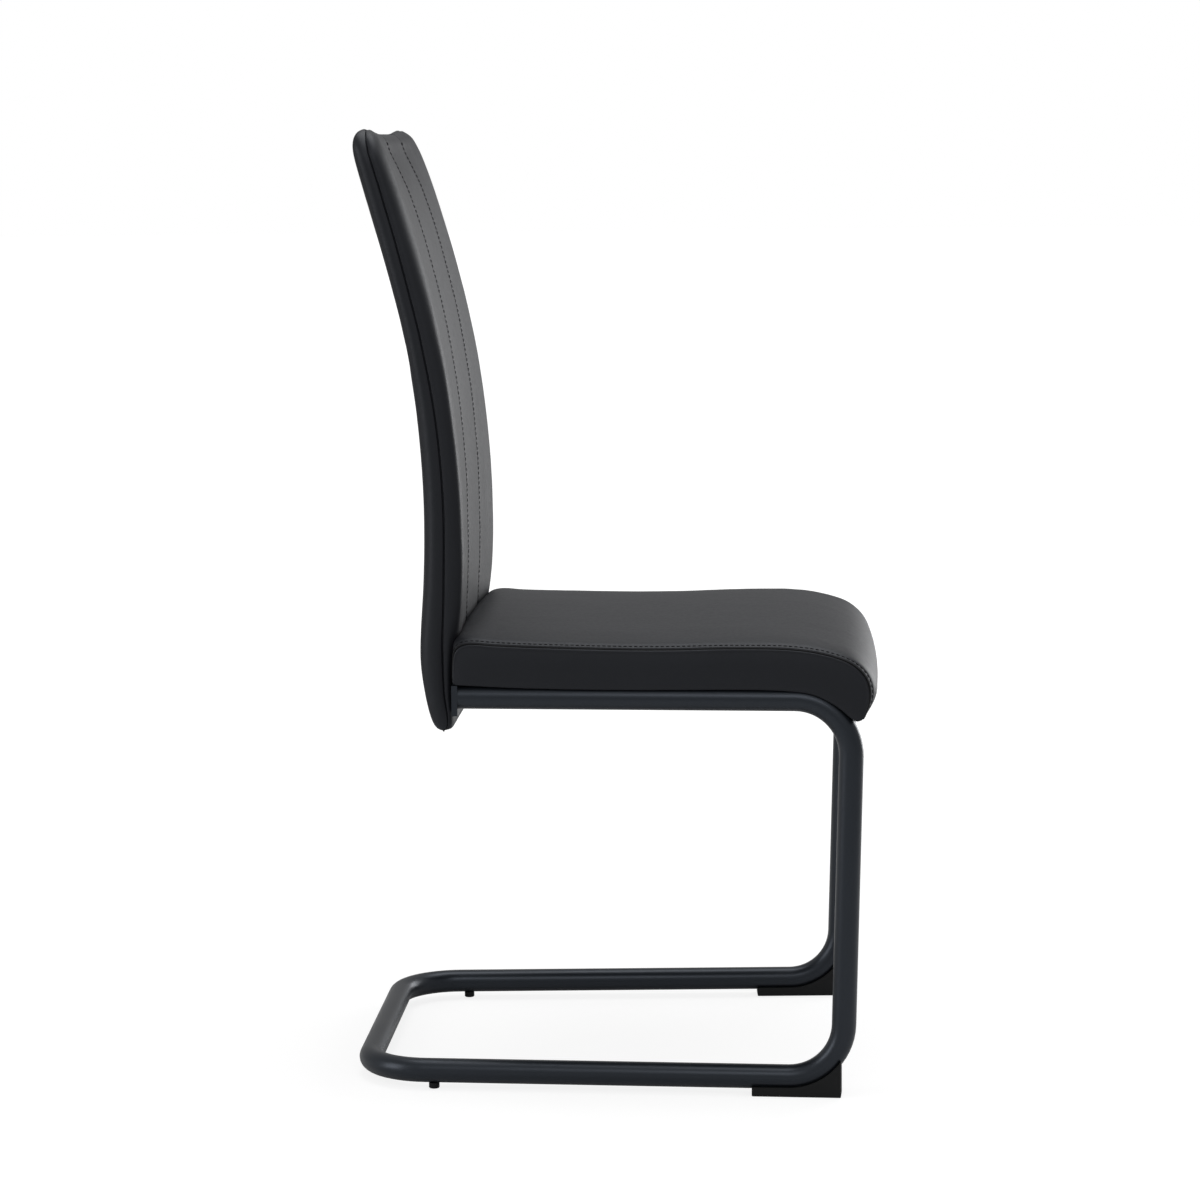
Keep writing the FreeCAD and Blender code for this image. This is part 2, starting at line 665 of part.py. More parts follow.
def make_fasteners():
    """The bolts with their washers and tee nuts, in one node for each kind and place."""
    up = Rotation()
    to_rear = Rotation(Vector(1, 0, 0), -90)
    gap = N["fit_gap"]
    washer = make_washer()
    tee_nut = make_tee_nut()
    nut_top = BOARD_TOP + D["tee_nut_plate"] + D["fit_gap"]
    seat_bolt = make_bolt("SeatBoltShape", nut_top - RAIL_TOP + D["shelf_thickness"])
    nut_face = SHELL_REAR_Y + D["tee_nut_plate"] + D["fit_gap"]
    back_bolt = make_bolt("BackBoltShape", nut_face - PLATE_Y + D["washer_thickness"])
    under = RAIL_TOP.value - N["washer_thickness"] - gap
    DOC.recompute()
    nodes = [
        group(
            "seat_bolts",
            seat_bolt,
            [Placement(Vector(x, y, under - thick - gap), up) for x, y, thick in SEAT_BOLTS],
        ),
        group(
            "seat_washers",
            washer,
            [Placement(Vector(x, y, under - thick), up) for x, y, thick in SEAT_BOLTS],
        ),
        group(
            "seat_tee_nuts",
            tee_nut,
            [Placement(Vector(x, y, BOARD_TOP.value + gap), up) for x, y, _ in SEAT_BOLTS],
        ),
    ]
    front = PLATE_Y.value - N["washer_thickness"] - gap
    z = BACK_BOLT_Z.value
    nodes += [
        group("back_bolts", back_bolt, [Placement(Vector(x, front - gap, z), to_rear) for x in BACK_BOLTS]),
        group("back_washers", washer, [Placement(Vector(x, front, z), to_rear) for x in BACK_BOLTS]),
        group(
            "back_tee_nuts",
            tee_nut,
            [Placement(Vector(x, SHELL_REAR_Y.value + gap, z), to_rear) for x in BACK_BOLTS],
        ),
    ]
    return nodes


# Seat board and dust cover.


def board_half(y, margin):
    """Middle plane to the edge of a board that stays margin inside the seat's sides at y."""
    return rail_x(y) + D["seat_overhang"] - D["cover_thickness"] - margin


def plan_corners(front, rear, margin):
    wide = board_half(front, margin)
    narrow = board_half(rear, margin)
    return [(-wide, front), (wide, front), (narrow, rear), (-narrow, rear)]


def bolt_holes(sketch, diameter):
    for side in (LEFT, RIGHT):
        for y in (CROSSBAR_Y, PLATE_Y - D["shelf_depth"] / 2):
            circle(sketch, D["seat_bolt_half_pitch"] * side, y, diameter)


def make_board():
    """Moulded plywood whose front follows the bend of the legs."""
    body = new_body("seat_board")
    bend_y = Measure(TOP_BEND_Y) + FRONT_CORNER_Y
    bend_z = RAIL_Z - D["front_bend_radius"]
    inner = BOARD_Z - bend_z
    outer = inner + D["board_thickness"]
    hook = D["board_hook_angle"]
    rear = BOARD_REAR_Y
    profile = new_sketch(body, "BoardProfile", "YZ_Plane")
    corners = [
        (rear, BOARD_Z),
        (rear, BOARD_TOP),
        (bend_y, BOARD_TOP),
        (bend_y - outer * hook.sine(), bend_z + outer * hook.cosine()),
        (bend_y - inner * hook.sine(), bend_z + inner * hook.cosine()),
        (bend_y, BOARD_Z),
    ]
    outline(profile, corners, {2: -outer, 4: inner})
    beyond = D["front_half_width"] + D["tube_diameter"]
    pad(body, profile, beyond * 2, middle=True)
    sides = new_sketch(body, "BoardSides", "XY_Plane")
    margin = D["board_margin"]
    front = bend_y - outer
    past = rear + margin
    for side in (LEFT, RIGHT):
        wide = board_half(front, margin) * side
        narrow = board_half(past, margin) * side
        outline(sides, [(wide, front), (beyond * side, front), (beyond * side, past), (narrow, past)])
    cut_through(body, sides)
    holes = new_sketch(body, "BoardHoles", "XY_Plane")
    bolt_holes(holes, BARREL_HOLE)
    cut_through(body, holes)
    ease(body, "Fillet", D["board_corner"], is_rear_corner)
    return body


def is_rear_corner(edge):
    """An upright edge of the seat board at one of its rear corners."""
    box = edge.BoundBox
    upright = box.XLength < 0.01 and box.YLength < 0.01
    return upright and abs(box.YMax - BOARD_REAR_Y.value) < 0.01


def make_dust_cover():
    """Black non-woven sheet stapled under the flat of the board."""
    body = new_body("seat_dust_cover")
    plan = new_sketch(body, "DustPlan", "XY_Plane", CLOTH_Z)
    front = Measure(TOP_BEND_Y) + FRONT_CORNER_Y
    outline(plan, plan_corners(front, BOARD_REAR_Y, D["board_margin"] * 2))
    pad(body, plan, D["cloth_thickness"])
    holes = new_sketch(body, "DustHoles", "XY_Plane")
    bolt_holes(holes, HOLE)
    cut_through(body, holes)
    return body


# Back: its side view is a straight lean above a long curve that is foremost at the lumbar height.

BACK_LEAN = math.radians(N["back_lean"])
TAIL_Z = RAIL_TOP.value + N["back_tail_start"]
FOAM_Z = TAIL_Z + N["back_foam_start"]
THIN_Z = TAIL_Z + N["back_thin_start"]
# Share of the back's depth that its rounded top takes from the front.
TOP_ROLL_SHARE = 0.52
# How late the front of the back turns upright below the lumbar, and its rear thins: 1 would be a straight run.
FRONT_TAIL_POWER = 2.7
REAR_TAIL_POWER = 1.3
# Heights of the outlines that the back is lofted through, as shares of its rounded edges and of its tail.
BOTTOM_SHARES = (0.03, 0.3, 1.0)
TAIL_SHARES = (0.0, 0.25, 0.5, 1.0)
TOP_SHARES = (1.0, 0.55, 0.28, 0.1, 0.02)
UPPER_STEPS = 5
LAST_SHARE = 0.98


def tail_share(z):
    """Nought from the lumbar up, and one where the front of the back is upright behind the seat."""
    share = (N["lumbar_height"] - z) / (N["lumbar_height"] - TAIL_Z)
    return min(max(share, 0.0), 1.0) ** FRONT_TAIL_POWER


def curve_at(z, radius):
    """How far the back's front or rear lies behind its foremost point at height z."""
    rise = z - N["lumbar_height"]
    if rise > radius * math.sin(BACK_LEAN):
        above = rise - radius * math.sin(BACK_LEAN)
        return radius * (1 - math.cos(BACK_LEAN)) + above * math.tan(BACK_LEAN)
    return radius - math.sqrt(radius * radius - rise * rise)


def back_front(z):
    """Front of the back at its side edges: upright behind the seat, foremost at the lumbar, then leaning."""
    if z >= N["lumbar_height"]:
        return N["lumbar_place"] + curve_at(z, N["back_bend_radius"])
    upright = (PLATE_REAR_Y - FRONT_CORNER_Y + D["soft_gap"] + D["fit_gap"]).value
    return N["lumbar_place"] + (upright - N["lumbar_place"]) * tail_share(z)


def back_rear(z):
    """Rear of the back at its side edges: the same curve, drawn in towards the bottom edge."""
    thick_radius = N["back_bend_radius"] + N["lumbar_thickness"]
    curve = N["lumbar_place"] + N["lumbar_thickness"] + curve_at(z, thick_radius)
    if z >= THIN_Z:
        return curve
    tail = back_front(N["back_bottom"]) + N["back_tail_thickness"]
    share = (THIN_Z - z) / (THIN_Z - N["back_bottom"])
    return curve + (tail - curve) * min(share, 1.0) ** REAR_TAIL_POWER


def roll(distance, reach):
    """Share of a rounded edge's depth that is gone at the given distance from the edge."""
    share = min(max(1 - distance / reach, 0.0), LAST_SHARE)
    return 1 - math.sqrt(1 - share * share)


def back_levels(inset):
    """Heights of the outlines that the back is lofted through: closer where its edges round off."""
    bottom = N["back_bottom"] + inset
    top = N["back_height"] - inset
    near_bottom = [bottom + N["back_bottom_round"] * share for share in BOTTOM_SHARES]
    near_top = [top - N["back_roll"] * share for share in TOP_SHARES]
    lumbar = N["lumbar_height"]
    tail = [TAIL_Z + (lumbar - TAIL_Z) * share for share in TAIL_SHARES]
    upper = [lumbar + (near_top[0] - lumbar) * step / UPPER_STEPS for step in range(1, UPPER_STEPS)]
    return near_bottom + tail + upper + near_top


class BackLevel:
    """Corner points of the back's level outline at one height, going round from the right seam."""

    def __init__(self, z, inset):
        top = N["back_height"] - inset
        bottom = N["back_bottom"] + inset
        front, rear = back_front(z) + inset, back_rear(z) - inset
        deep = rear - front
        rolled = roll(top - z, N["back_roll"])
        low = roll(z - bottom, N["back_bottom_round"])
        corner = N["back_corner"] * roll(top - z, N["back_corner"])
        self.z = z
        self.front = front + deep * TOP_ROLL_SHARE * rolled + N["back_bottom_front"] * low
        self.rear = rear - deep * (LAST_SHARE - TOP_ROLL_SHARE) * rolled - N["back_bottom_rear"] * low
        # Seams of the inner forms lie beside those of the cover, so that no edge meets another's face.
        self.seam = (self.front + self.rear + inset) / 2
        self.panel = N["panel_half_width"] + inset / 2
        self.half = N["back_half_width"] - inset - corner - N["back_bottom_side"] * low
        self.ridge = self.half - N["back_side_round"]
        fade = min(1.0, (top - z) / N["back_roll"]) * (1 - tail_share(z))
        self.hollow = N["back_hollow"] * fade
        self.crown = N["panel_crown"] * fade + N["fit_gap"]

    def at(self, x, y):
        return Vector(x, Y0 + y, self.z)

    def arc(self, first, middle, second):
        return Part.Arc(self.at(*first), self.at(*middle), self.at(*second)).toShape()

    def line(self, first, second):
        return Part.LineSegment(self.at(*first), self.at(*second)).toShape()

    def corner(self, side, edge, forward):
        """Rounded side between a side seam and the front or rear; forward gives the way round."""
        seam = (side * self.half, self.seam)
        ridge = (side * self.ridge, edge)
        out = self.ridge + (self.half - self.ridge) * QUARTER
        middle = (side * out, self.seam + (edge - self.seam) * QUARTER)
        return self.arc(ridge, middle, seam) if forward else self.arc(seam, middle, ridge)

    def side_panel(self, side, forward):
        """Front between a side's ridge and its panel seam."""
        ridge = (side * self.ridge, self.front)
        seam = (side * self.panel, self.front + self.hollow)
        middle = (side * (self.ridge + self.panel) / 2, self.front + self.hollow / 2 - self.crown)
        return self.arc(seam, middle, ridge) if forward else self.arc(ridge, middle, seam)

    def centre_panel(self):
        y = self.front + self.hollow
        return self.arc((-self.panel, y), (0.0, y - self.crown), (self.panel, y))

    def front_edges(self):
        return [
            self.corner(RIGHT, self.front, False),
            self.side_panel(RIGHT, False),
            self.centre_panel(),
            self.side_panel(LEFT, True),
            self.corner(LEFT, self.front, True),
        ]

    def rear_edges(self):
        sweep_back = self.rear + N["back_hollow"]
        return [
            self.corner(LEFT, self.rear, False),
            self.arc((self.ridge, self.rear), (0.0, sweep_back), (-self.ridge, self.rear)),
            self.corner(RIGHT, self.rear, True),
        ]

    def seam_line(self, first, second):
        return self.line((first, self.seam), (second, self.seam))

    def whole(self):
        return self.front_edges() + self.rear_edges()

    def front_half(self):
        return self.front_edges() + [self.seam_line(self.half, -self.half)]

    def rear_half(self):
        return self.rear_edges() + [self.seam_line(-self.half, self.half)]

    def centre_piece(self):
        y = self.front + self.hollow
        return [
            self.centre_panel(),
            self.line((self.panel, y), (self.panel, self.seam)),
            self.seam_line(self.panel, -self.panel),
            self.line((-self.panel, self.seam), (-self.panel, y)),
        ]

    def left_piece(self):
        y = self.front + self.hollow
        return [
            self.side_panel(LEFT, True),
            self.corner(LEFT, self.front, True),
            self.seam_line(self.half, self.panel),
            self.line((self.panel, self.seam), (self.panel, y)),
        ]

    def right_piece(self):
        y = self.front + self.hollow
        return [
            self.corner(RIGHT, self.front, False),
            self.side_panel(RIGHT, False),
            self.line((-self.panel, y), (-self.panel, self.seam)),
            self.seam_line(-self.panel, -self.half),
        ]


def back_loft(inset, edges_of):
    """Loft of one part of the back's outline, inset all round."""
    wires = [Part.Wire(edges_of(BackLevel(z, inset))) for z in back_levels(inset)]
    return Part.makeLoft(wires, True, True)


def make_shell():
    """Moulded plywood inside the back, upright at the bolts and leaning above the lumbar."""
    side = new_body("ShellSideView")
    y = SHELL_FRONT_Y
    radius = D["back_bend_radius"]
    thick = D["shell_thickness"]
    lean = D["back_lean"]
    bottom = D["back_bottom"] + D["cover_thickness"] * 3
    bend_z = D["lumbar_height"]
    arc_y = y + radius - radius * lean.cosine()
    arc_z = bend_z + radius * lean.sine()
    straight = (D["back_height"] - D["shell_top_gap"] - arc_z) / lean.cosine()
    top_y = arc_y + straight * lean.sine()
    top_z = arc_z + straight * lean.cosine()
    corners = [
        (y, bottom),
        (y, bend_z),
        (arc_y, arc_z),
        (top_y, top_z),
        (top_y + thick * lean.cosine(), top_z - thick * lean.sine()),
        (arc_y + thick * lean.cosine(), arc_z - thick * lean.sine()),
        (y + thick, bend_z),
        (y + thick, bottom),
    ]
    profile = new_sketch(side, "ShellProfile", "YZ_Plane")
    outline(profile, corners, {1: radius, 5: -(radius - thick)})
    half = D["back_half_width"] - D["shell_margin"]
    pad(side, profile, half * 2, middle=True)
    front = new_body("ShellFrontView")
    plan = new_sketch(front, "ShellPlan", "XZ_Plane")
    corner = D["shell_corner"]
    inner = half - corner
    shoulder = top_z - corner
    lower = [(-half, bottom), (half, bottom), (half, shoulder)]
    outline(plan, lower + [(inner, top_z), (-inner, top_z), (-half, shoulder)], {2: -corner, 4: -corner})
    for x in (D["back_bolt_inner"], D["back_bolt_outer"]):
        for hand in (LEFT, RIGHT):
            circle(plan, x * hand, BACK_BOLT_Z, BARREL_HOLE)
    pad(front, plan, D["back_height"] * 2, middle=True)
    shell = DOC.addObject("Part::Common", "back_shell")
    shell.Label = "back_shell"
    shell.Base = side
    shell.Tool = front
    return shell


def make_back(shell):
    """Front foam and rear padding round the shell, and the four panels of the cover."""
    cover = N["cover_thickness"]
    gap = N["fit_gap"]
    inner = back_loft(cover, BackLevel.whole)
    pieces = [
        ("back_cover_centre", BackLevel.centre_piece),
        ("back_cover_left", BackLevel.left_piece),
        ("back_cover_right", BackLevel.right_piece),
        ("back_cover_rear", BackLevel.rear_half),
    ]
    reach = (SHELL_REAR_Y - PLATE_Y).value
    starts = [Vector(x, PLATE_Y.value, BACK_BOLT_Z.value) for x in BACK_BOLTS]
    holes = [Part.makeCylinder(HOLE.value / 2, reach, start, Vector(0, 1, 0)) for start in starts]
    nodes = []
    for label, edges_of in pieces:
        skin = back_loft(0.0, edges_of).cut(inner)
        if label != "back_cover_rear":
            skin = skin.cut(holes)
        nodes.append(set_shape(label, skin))
    # No front foam lies where the bolts clamp the shell to the plate.
    wide = 2 * (N["back_half_width"] - N["shell_margin"])
    deep = N["back_tail_thickness"] * 2
    clamped = Part.makeBox(wide, deep, FOAM_Z - N["back_bottom"])
    clamped.translate(Vector(-wide / 2, PLATE_REAR_Y.value, N["back_bottom"]))
    front = back_loft(cover + gap, BackLevel.front_half).cut(shell.Shape).cut(clamped)
    rear = back_loft(cover + gap, BackLevel.rear_half).cut(shell.Shape)
    for x in BACK_BOLTS:
        face = Vector(x, SHELL_REAR_Y.value, BACK_BOLT_Z.value)
        rear = rear.cut(nut_room(face, Vector(0, 1, 0), N["shell_thickness"]))
    return nodes + [set_shape("back_foam", front), set_shape("back_rear_padding", rear)]


# Seat cushion: lofts across the chair through side profiles that swell from the seam towards the middle.

SEAT_STEPS = 5
# The front roll's shoulder: its place before and below the top, as shares of the top's height above the nose.
SHOULDER_RUN = 0.48
SHOULDER_DROP = 0.34
# Sagitta of the arc from shoulder to nose, as a share of the same height, and of the arc down to the lip.
NOSE_BULGE = 0.13
LIP_BULGE = 2.0


def seat_profile(half_width, share, swell, inset, floor):
    """Closed side profile at one share of the half width; swell and inset move its top and front."""
    rise = N["seat_crown"] * swell - inset
    top = N["seat_seam_height"] + rise
    nose = -N["seat_nose"] - rise
    nose_z = N["seat_nose_height"]
    lip = N["seat_lip_height"] + inset
    under = floor - TOP_BEND_Z
    shoulder = nose + (top - nose_z) * SHOULDER_RUN
    shoulder_z = top - (top - nose_z) * SHOULDER_DROP
    start = N["seat_roll_start"]
    lip_rear = TOP_BEND_Y - math.sqrt(under**2 - (lip - TOP_BEND_Z) ** 2)
    corner = N["seat_rear_round"] + max(rise, 0.0) / 2
    back_gap = N["seat_back_gap"] + inset

    def place(y, z):
        return Vector(share * half_width(y), Y0 + y, z)

    def arc(first, second, sag):
        """Arc between two (y, z) points; sag is how far it swells to the left of travel."""
        (y1, z1), (y2, z2) = first, second
        length = math.hypot(y2 - y1, z2 - z1)
        middle = ((y1 + y2) / 2 - (z2 - z1) / length * sag, (z1 + z2) / 2 + (y2 - y1) / length * sag)
        return Part.Arc(place(*first), place(*middle), place(*second)).toShape()

    def line(first, second):
        return Part.LineSegment(place(*first), place(*second)).toShape()

    a = (back_front(floor) - back_gap, floor)
    b = (back_front(top - corner) - back_gap, top - corner)
    c = (b[0] - corner, top)
    d = (start, top)
    e = (shoulder, shoulder_z)
    f = (nose, nose_z)
    g = (nose + N["seat_lip_run"], lip)
    k = (lip_rear, lip)
    m = (TOP_BEND_Y, floor)
    run = math.hypot(start - shoulder, top - shoulder_z)
    bend = math.hypot(k[0] - m[0], k[1] - m[1])
    return Part.Wire(
        [
            line(a, b),
            arc(b, c, -corner * (1 - QUARTER)),
            line(c, d),
            arc(d, e, -run * run / (8 * N["seat_roll_radius"])),
            arc(e, f, -(top - nose_z) * NOSE_BULGE),
            arc(f, g, -LIP_BULGE),
            line(g, k),
            arc(k, m, under - math.sqrt(under**2 - bend * bend / 4)),
            line(m, a),
        ]
    )


def seat_edge(inset):
    """Half width of the cushion, at a distance behind the frame's front corner, as a function."""
    overhang = N["seat_overhang"] - inset
    return lambda y: N["front_half_width"] + overhang - y * math.tan(TAPER)


def seat_form(inset, floor):
    """The cushion inset all round by the given amount, down to the height of floor."""
    edge = seat_edge(N["cover_thickness"] + N["fit_gap"])
    wires = []
    for step in range(-SEAT_STEPS, SEAT_STEPS + 1):
        turn = math.pi / 2 * step / SEAT_STEPS
        wires.append(seat_profile(edge, math.sin(turn), math.cos(turn), inset, floor))
    return Part.makeLoft(wires, True, True)


def make_side_cover(side):
    """Flat boxing panel of the cover: its lower edge hangs just below the top of the rail."""
    wire = seat_profile(seat_edge(0.0), side, 0.0, 0.0, RAIL_TOP.value - N["seat_skirt"])
    inward = side_place(side).Rotation.multVec(Vector(-side, 0, 0)) * N["cover_thickness"]
    return set_shape(f"seat_cover_{name_of(side)}", Part.Face(wire).extrude(inward))


def nut_room(face, outward, thickness):
    """Room for a tee nut: its flange on a board's face, and its hole back through the board."""
    barrel = Part.makeCylinder(BARREL_HOLE.value / 2, thickness + 1, face - outward * thickness, outward)
    deep = N["tee_nut_plate"] + N["fit_gap"] * 3
    return barrel.fuse(Part.makeCylinder(N["tee_nut_flange"] / 2 + N["fit_gap"], deep, face, outward))


def make_seat(board):
    """Foam, top cover and the two side covers."""
    cover = N["cover_thickness"]
    gap = N["fit_gap"]
    foam_space = seat_form(cover, RAIL_TOP.value)
    top_cover = set_shape("seat_cover_top", seat_form(0.0, BOARD_Z.value).cut(foam_space))
    foam = seat_form(cover + gap, BOARD_Z.value + gap).cut(board.Shape)
    up = Vector(0, 0, 1)
    for x, y, _ in SEAT_BOLTS:
        foam = foam.cut(nut_room(Vector(x, y, BOARD_TOP.value), up, N["board_thickness"]))
    return [top_cover, set_shape("seat_foam", foam), make_side_cover(LEFT), make_side_cover(RIGHT)]


def check_and_write(nodes):
    """Stops on a failed object or shape, then writes one file for each node."""
    DOC.recompute()
    for item in DOC.Objects:
        if "Invalid" in item.State or "Error" in item.State:
            raise ValueError(f"{item.Name} failed: {item.State}")
    for node in nodes:
        shape = node.Shape
        if shape.isNull() or not shape.isValid():
            raise ValueError(f"{node.Label} is not a valid shape")
        print(f"{node.Label}: {len(shape.Solids)} solid(s), {shape.Volume / 1000:.1f} cm3")
    os.makedirs("parts", exist_ok=True)
    for node in nodes:
        node.Shape.exportStep(f"parts/{node.Label}.step")


tube, tube_space = make_frame()
DOC.recompute()
nodes = [tube]
for side in (LEFT, RIGHT):
    nodes.append(make_foot(side, tube_space))
nodes.append(make_screws())
for side in (LEFT, RIGHT):
    nodes.append(make_glide(side))
nodes.append(make_rear_angle())
nodes.append(make_crossbar())
nodes += make_fasteners()
board = make_board()
nodes.append(board)
nodes.append(make_dust_cover())
DOC.recompute()
nodes += make_seat(board)
shell = make_shell()
nodes.append(shell)
DOC.recompute()
nodes += make_back(shell)
check_and_write(nodes)
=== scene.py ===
import math

import bmesh
import bpy
from mathutils import Matrix, Vector, noise
from mathutils.bvhtree import BVHTree


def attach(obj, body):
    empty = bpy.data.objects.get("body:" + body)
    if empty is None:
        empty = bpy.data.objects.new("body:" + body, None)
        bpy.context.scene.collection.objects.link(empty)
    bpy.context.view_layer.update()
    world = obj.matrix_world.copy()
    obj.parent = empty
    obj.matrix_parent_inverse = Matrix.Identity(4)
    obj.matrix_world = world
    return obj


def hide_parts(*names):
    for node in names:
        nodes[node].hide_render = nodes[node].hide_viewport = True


# High-back dining chair on a bent tube: faux leather cushions, powder coated steel, moulded feet.
# Lengths in this script are millimetres until a mesh is written, and the sitter faces -Y.

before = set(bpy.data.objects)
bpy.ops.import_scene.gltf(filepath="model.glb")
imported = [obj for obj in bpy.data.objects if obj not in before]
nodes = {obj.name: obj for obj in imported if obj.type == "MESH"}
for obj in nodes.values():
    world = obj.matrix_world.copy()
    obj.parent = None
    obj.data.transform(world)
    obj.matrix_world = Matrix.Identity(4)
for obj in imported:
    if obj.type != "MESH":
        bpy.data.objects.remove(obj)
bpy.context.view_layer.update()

MM = 0.001
BODY = "root"

# Sizes that the cushions share with the frame and with each other.
FRONT_CORNER_Y = -233.14
TAPER = math.radians(3.1)
TUBE_AXIS_X = 228.5
SEAT_OVERHANG = 11.5
TOP_BEND = (-185.27, 352.3)
BEND_CLEAR_RADIUS = 70.2
SEAT_UNDERSIDE = 422.55
BACK_HALF_WIDTH = 197.0
BACK_TOP = 983.3
PANEL_SEAM_X = 71.0

# Sewing. The cover is held this far from a seam, and its piping lies between two depths below it.
SEAM_DEPTH = 2.6
SEAM_HOLD = 14.0
STITCH_INSET = 4.4
STITCH_PITCH = 5.4
STITCH_LENGTH = 3.8
STITCH_THICKNESS = 1.2
STITCH_GROOVE = 1.1
PIPING_HEIGHT = 1.0
PIPING_UPPER = 1.2
PIPING_LOWER = 4.0
# The near-black tube that darkens each side seam of the seat: its radius, and how far it lies down in
# the groove.
SEAM_LINE_RADIUS = 0.95
SEAM_LINE_SINK = 0.9

# Form of the seat: nominal half width, side height and row spacing, then the swell of its foam.
SEAT_HALF_SPAN = 240.0
SEAT_SIDE_HEIGHT = 42.0
SEAT_ROWS = 104
SEAT_ROW_SPACING = 4.0
SEAT_SHOULDER = 6.6
SEAT_SHOULDER_REACH = 9.0
SEAT_CROWN = 4.6
SEAT_SIDE_BULGE = 2.4
SEAT_STITCH_DIP = 0.8

# Form of the back: its rounded sides and corners, its panels, and the dip of its top edge.
SIDE_ROUND = 11.0
SIDE_ARC = 26.0
SIDE_VALLEY = 2.0
TOP_CORNER = 32.0
FOOT_CORNER = 9.0
BACK_LENGTH = 600.0
BOLSTER_INNER_X = 82.0
BOLSTER_BREADTH = 104.0
UPPER_SOFTNESS = 13.0
HOLLOW_EDGE = 70.0
PANEL_PUFF = 2.0
REAR_PUFF = 3.6
BACK_STITCH_DIP = 0.6
TOP_DIP = 4.6
TOP_DIP_HALF_WIDTH = 166.0
# Below these heights the front of the back lies flat on its shell.
FLAT_BELOW = 424.0
HELD_BELOW = 432.0

# Side view of the seat, as (y, z): its sewn edge from the rear's bottom, over the top, to the lip.
SEAT_SEAM = [
    (162.4, 422.55), (162.4, 436.0), (162.0, 449.0), (160.6, 456.6), (156.4, 462.2),
    (149.6, 465.0), (138.0, 465.4), (118.5, 463.9), (72.8, 462.4), (10.0, 461.0),
    (-54.1, 460.7), (-115.9, 462.3), (-160.0, 462.4), (-184.0, 461.4), (-205.0, 458.9),
    (-224.0, 454.6), (-240.1, 448.6), (-251.2, 440.6), (-258.2, 431.5), (-261.3, 420.8),
    (-260.9, 409.8), (-258.2, 399.0), (-254.6, 391.0), (-249.8, 387.9),
]
# The lower edge of its side panels, from the same start to the same end.
SEAT_LOWER_EDGE = [
    (162.4, 422.55), (150.0, 422.0), (101.4, 419.9), (40.0, 418.6), (-22.6, 418.4),
    (-70.0, 418.9), (-115.6, 419.4), (-150.0, 419.4), (-177.6, 418.3), (-203.2, 415.0),
    (-224.9, 404.6), (-241.6, 391.4), (-245.6, 388.6), (-249.8, 387.9),
]
# Side view of the back: the bolster's front, the sewn edge in the middle of its side, and its rear.
BACK_FRONT = [
    (176.0, 371.8), (171.5, 371.8), (167.6, 372.2), (165.0, 373.7), (164.2, 377.0),
    (164.2, 386.0), (164.2, 398.0), (164.2, 412.0), (163.8, 426.0), (162.6, 440.0),
    (160.2, 460.0), (156.4, 483.0), (154.1, 505.0), (153.0, 528.0), (152.6, 550.0),
    (152.8, 573.0), (153.3, 595.0), (154.4, 618.0), (155.9, 640.0), (157.9, 663.0),
    (160.3, 685.0), (163.1, 707.0), (166.3, 730.0), (170.1, 752.0), (174.4, 774.0),
    (179.2, 797.0), (184.4, 819.0), (190.0, 841.0), (195.8, 863.0), (202.3, 885.0),
    (210.4, 912.0), (217.2, 932.5), (224.0, 951.5), (230.4, 966.5), (237.0, 978.4),
    (247.4, 985.4),
]
BACK_SIDE_SEAM = [
    (176.0, 371.8), (172.4, 372.6), (170.4, 375.0), (169.6, 379.0), (169.8, 387.0),
    (171.0, 397.0), (172.8, 410.0), (173.5, 434.0), (173.9, 466.0), (172.6, 500.0),
    (171.9, 534.0), (171.2, 570.0), (171.4, 600.0), (173.0, 636.0), (175.8, 670.0),
    (179.2, 698.0), (183.7, 727.0), (189.0, 755.0), (194.6, 783.0), (205.0, 826.0),
    (212.0, 854.0), (219.6, 883.0), (226.0, 905.0), (232.0, 926.6), (240.6, 955.0),
    (244.8, 971.0), (247.4, 985.4),
]
BACK_REAR = [
    (176.0, 371.8), (180.4, 371.9), (184.2, 375.2), (187.8, 382.5), (190.8, 393.0),
    (193.3, 405.0), (196.4, 425.0), (198.1, 445.0), (197.9, 466.0), (196.5, 487.0),
    (194.9, 507.0), (193.8, 528.0), (192.8, 569.0), (193.1, 609.0), (193.9, 630.0),
    (195.1, 650.0), (196.6, 671.0), (198.5, 691.0), (200.7, 711.0), (203.4, 731.0),
    (206.6, 752.0), (210.3, 772.0), (214.6, 792.0), (219.4, 812.0), (224.4, 832.0),
    (229.7, 852.5), (235.1, 872.5), (240.5, 892.6), (246.0, 912.6), (251.6, 932.6),
    (256.9, 952.6), (259.4, 965.0), (259.2, 974.5), (255.2, 982.4), (247.4, 985.4),
]
# How far the front of the back lies behind its bolsters at the panel seams, by height.
BACK_HOLLOW = [
    (383.5, 0.2), (424.0, 0.2), (450.0, 2.0), (507.0, 5.6), (571.0, 5.4),
    (647.0, 3.9), (720.0, 2.6), (800.0, 1.4), (887.0, 1.0), (917.0, 1.8),
    (966.0, 4.6), (983.3, 3.0),
]


# Materials.


def linear(code):
    """A colour written as sRGB hex, as the linear RGBA that a socket takes."""
    channels = [int(code[i : i + 2], 16) / 255 for i in (1, 3, 5)]
    return [c / 12.92 if c <= 0.04045 else ((c + 0.055) / 1.055) ** 2.4 for c in channels] + [1.0]


def add(tree, kind, inputs=None, **settings):
    """Adds a node; inputs maps a socket to a value or to the output that feeds it."""
    made = tree.nodes.new("ShaderNode" + kind)
    for name, value in settings.items():
        setattr(made, name, value)
    for socket, value in (inputs or {}).items():
        if isinstance(value, bpy.types.NodeSocket):
            tree.links.new(value, made.inputs[socket])
        else:
            made.inputs[socket].default_value = value
    return made


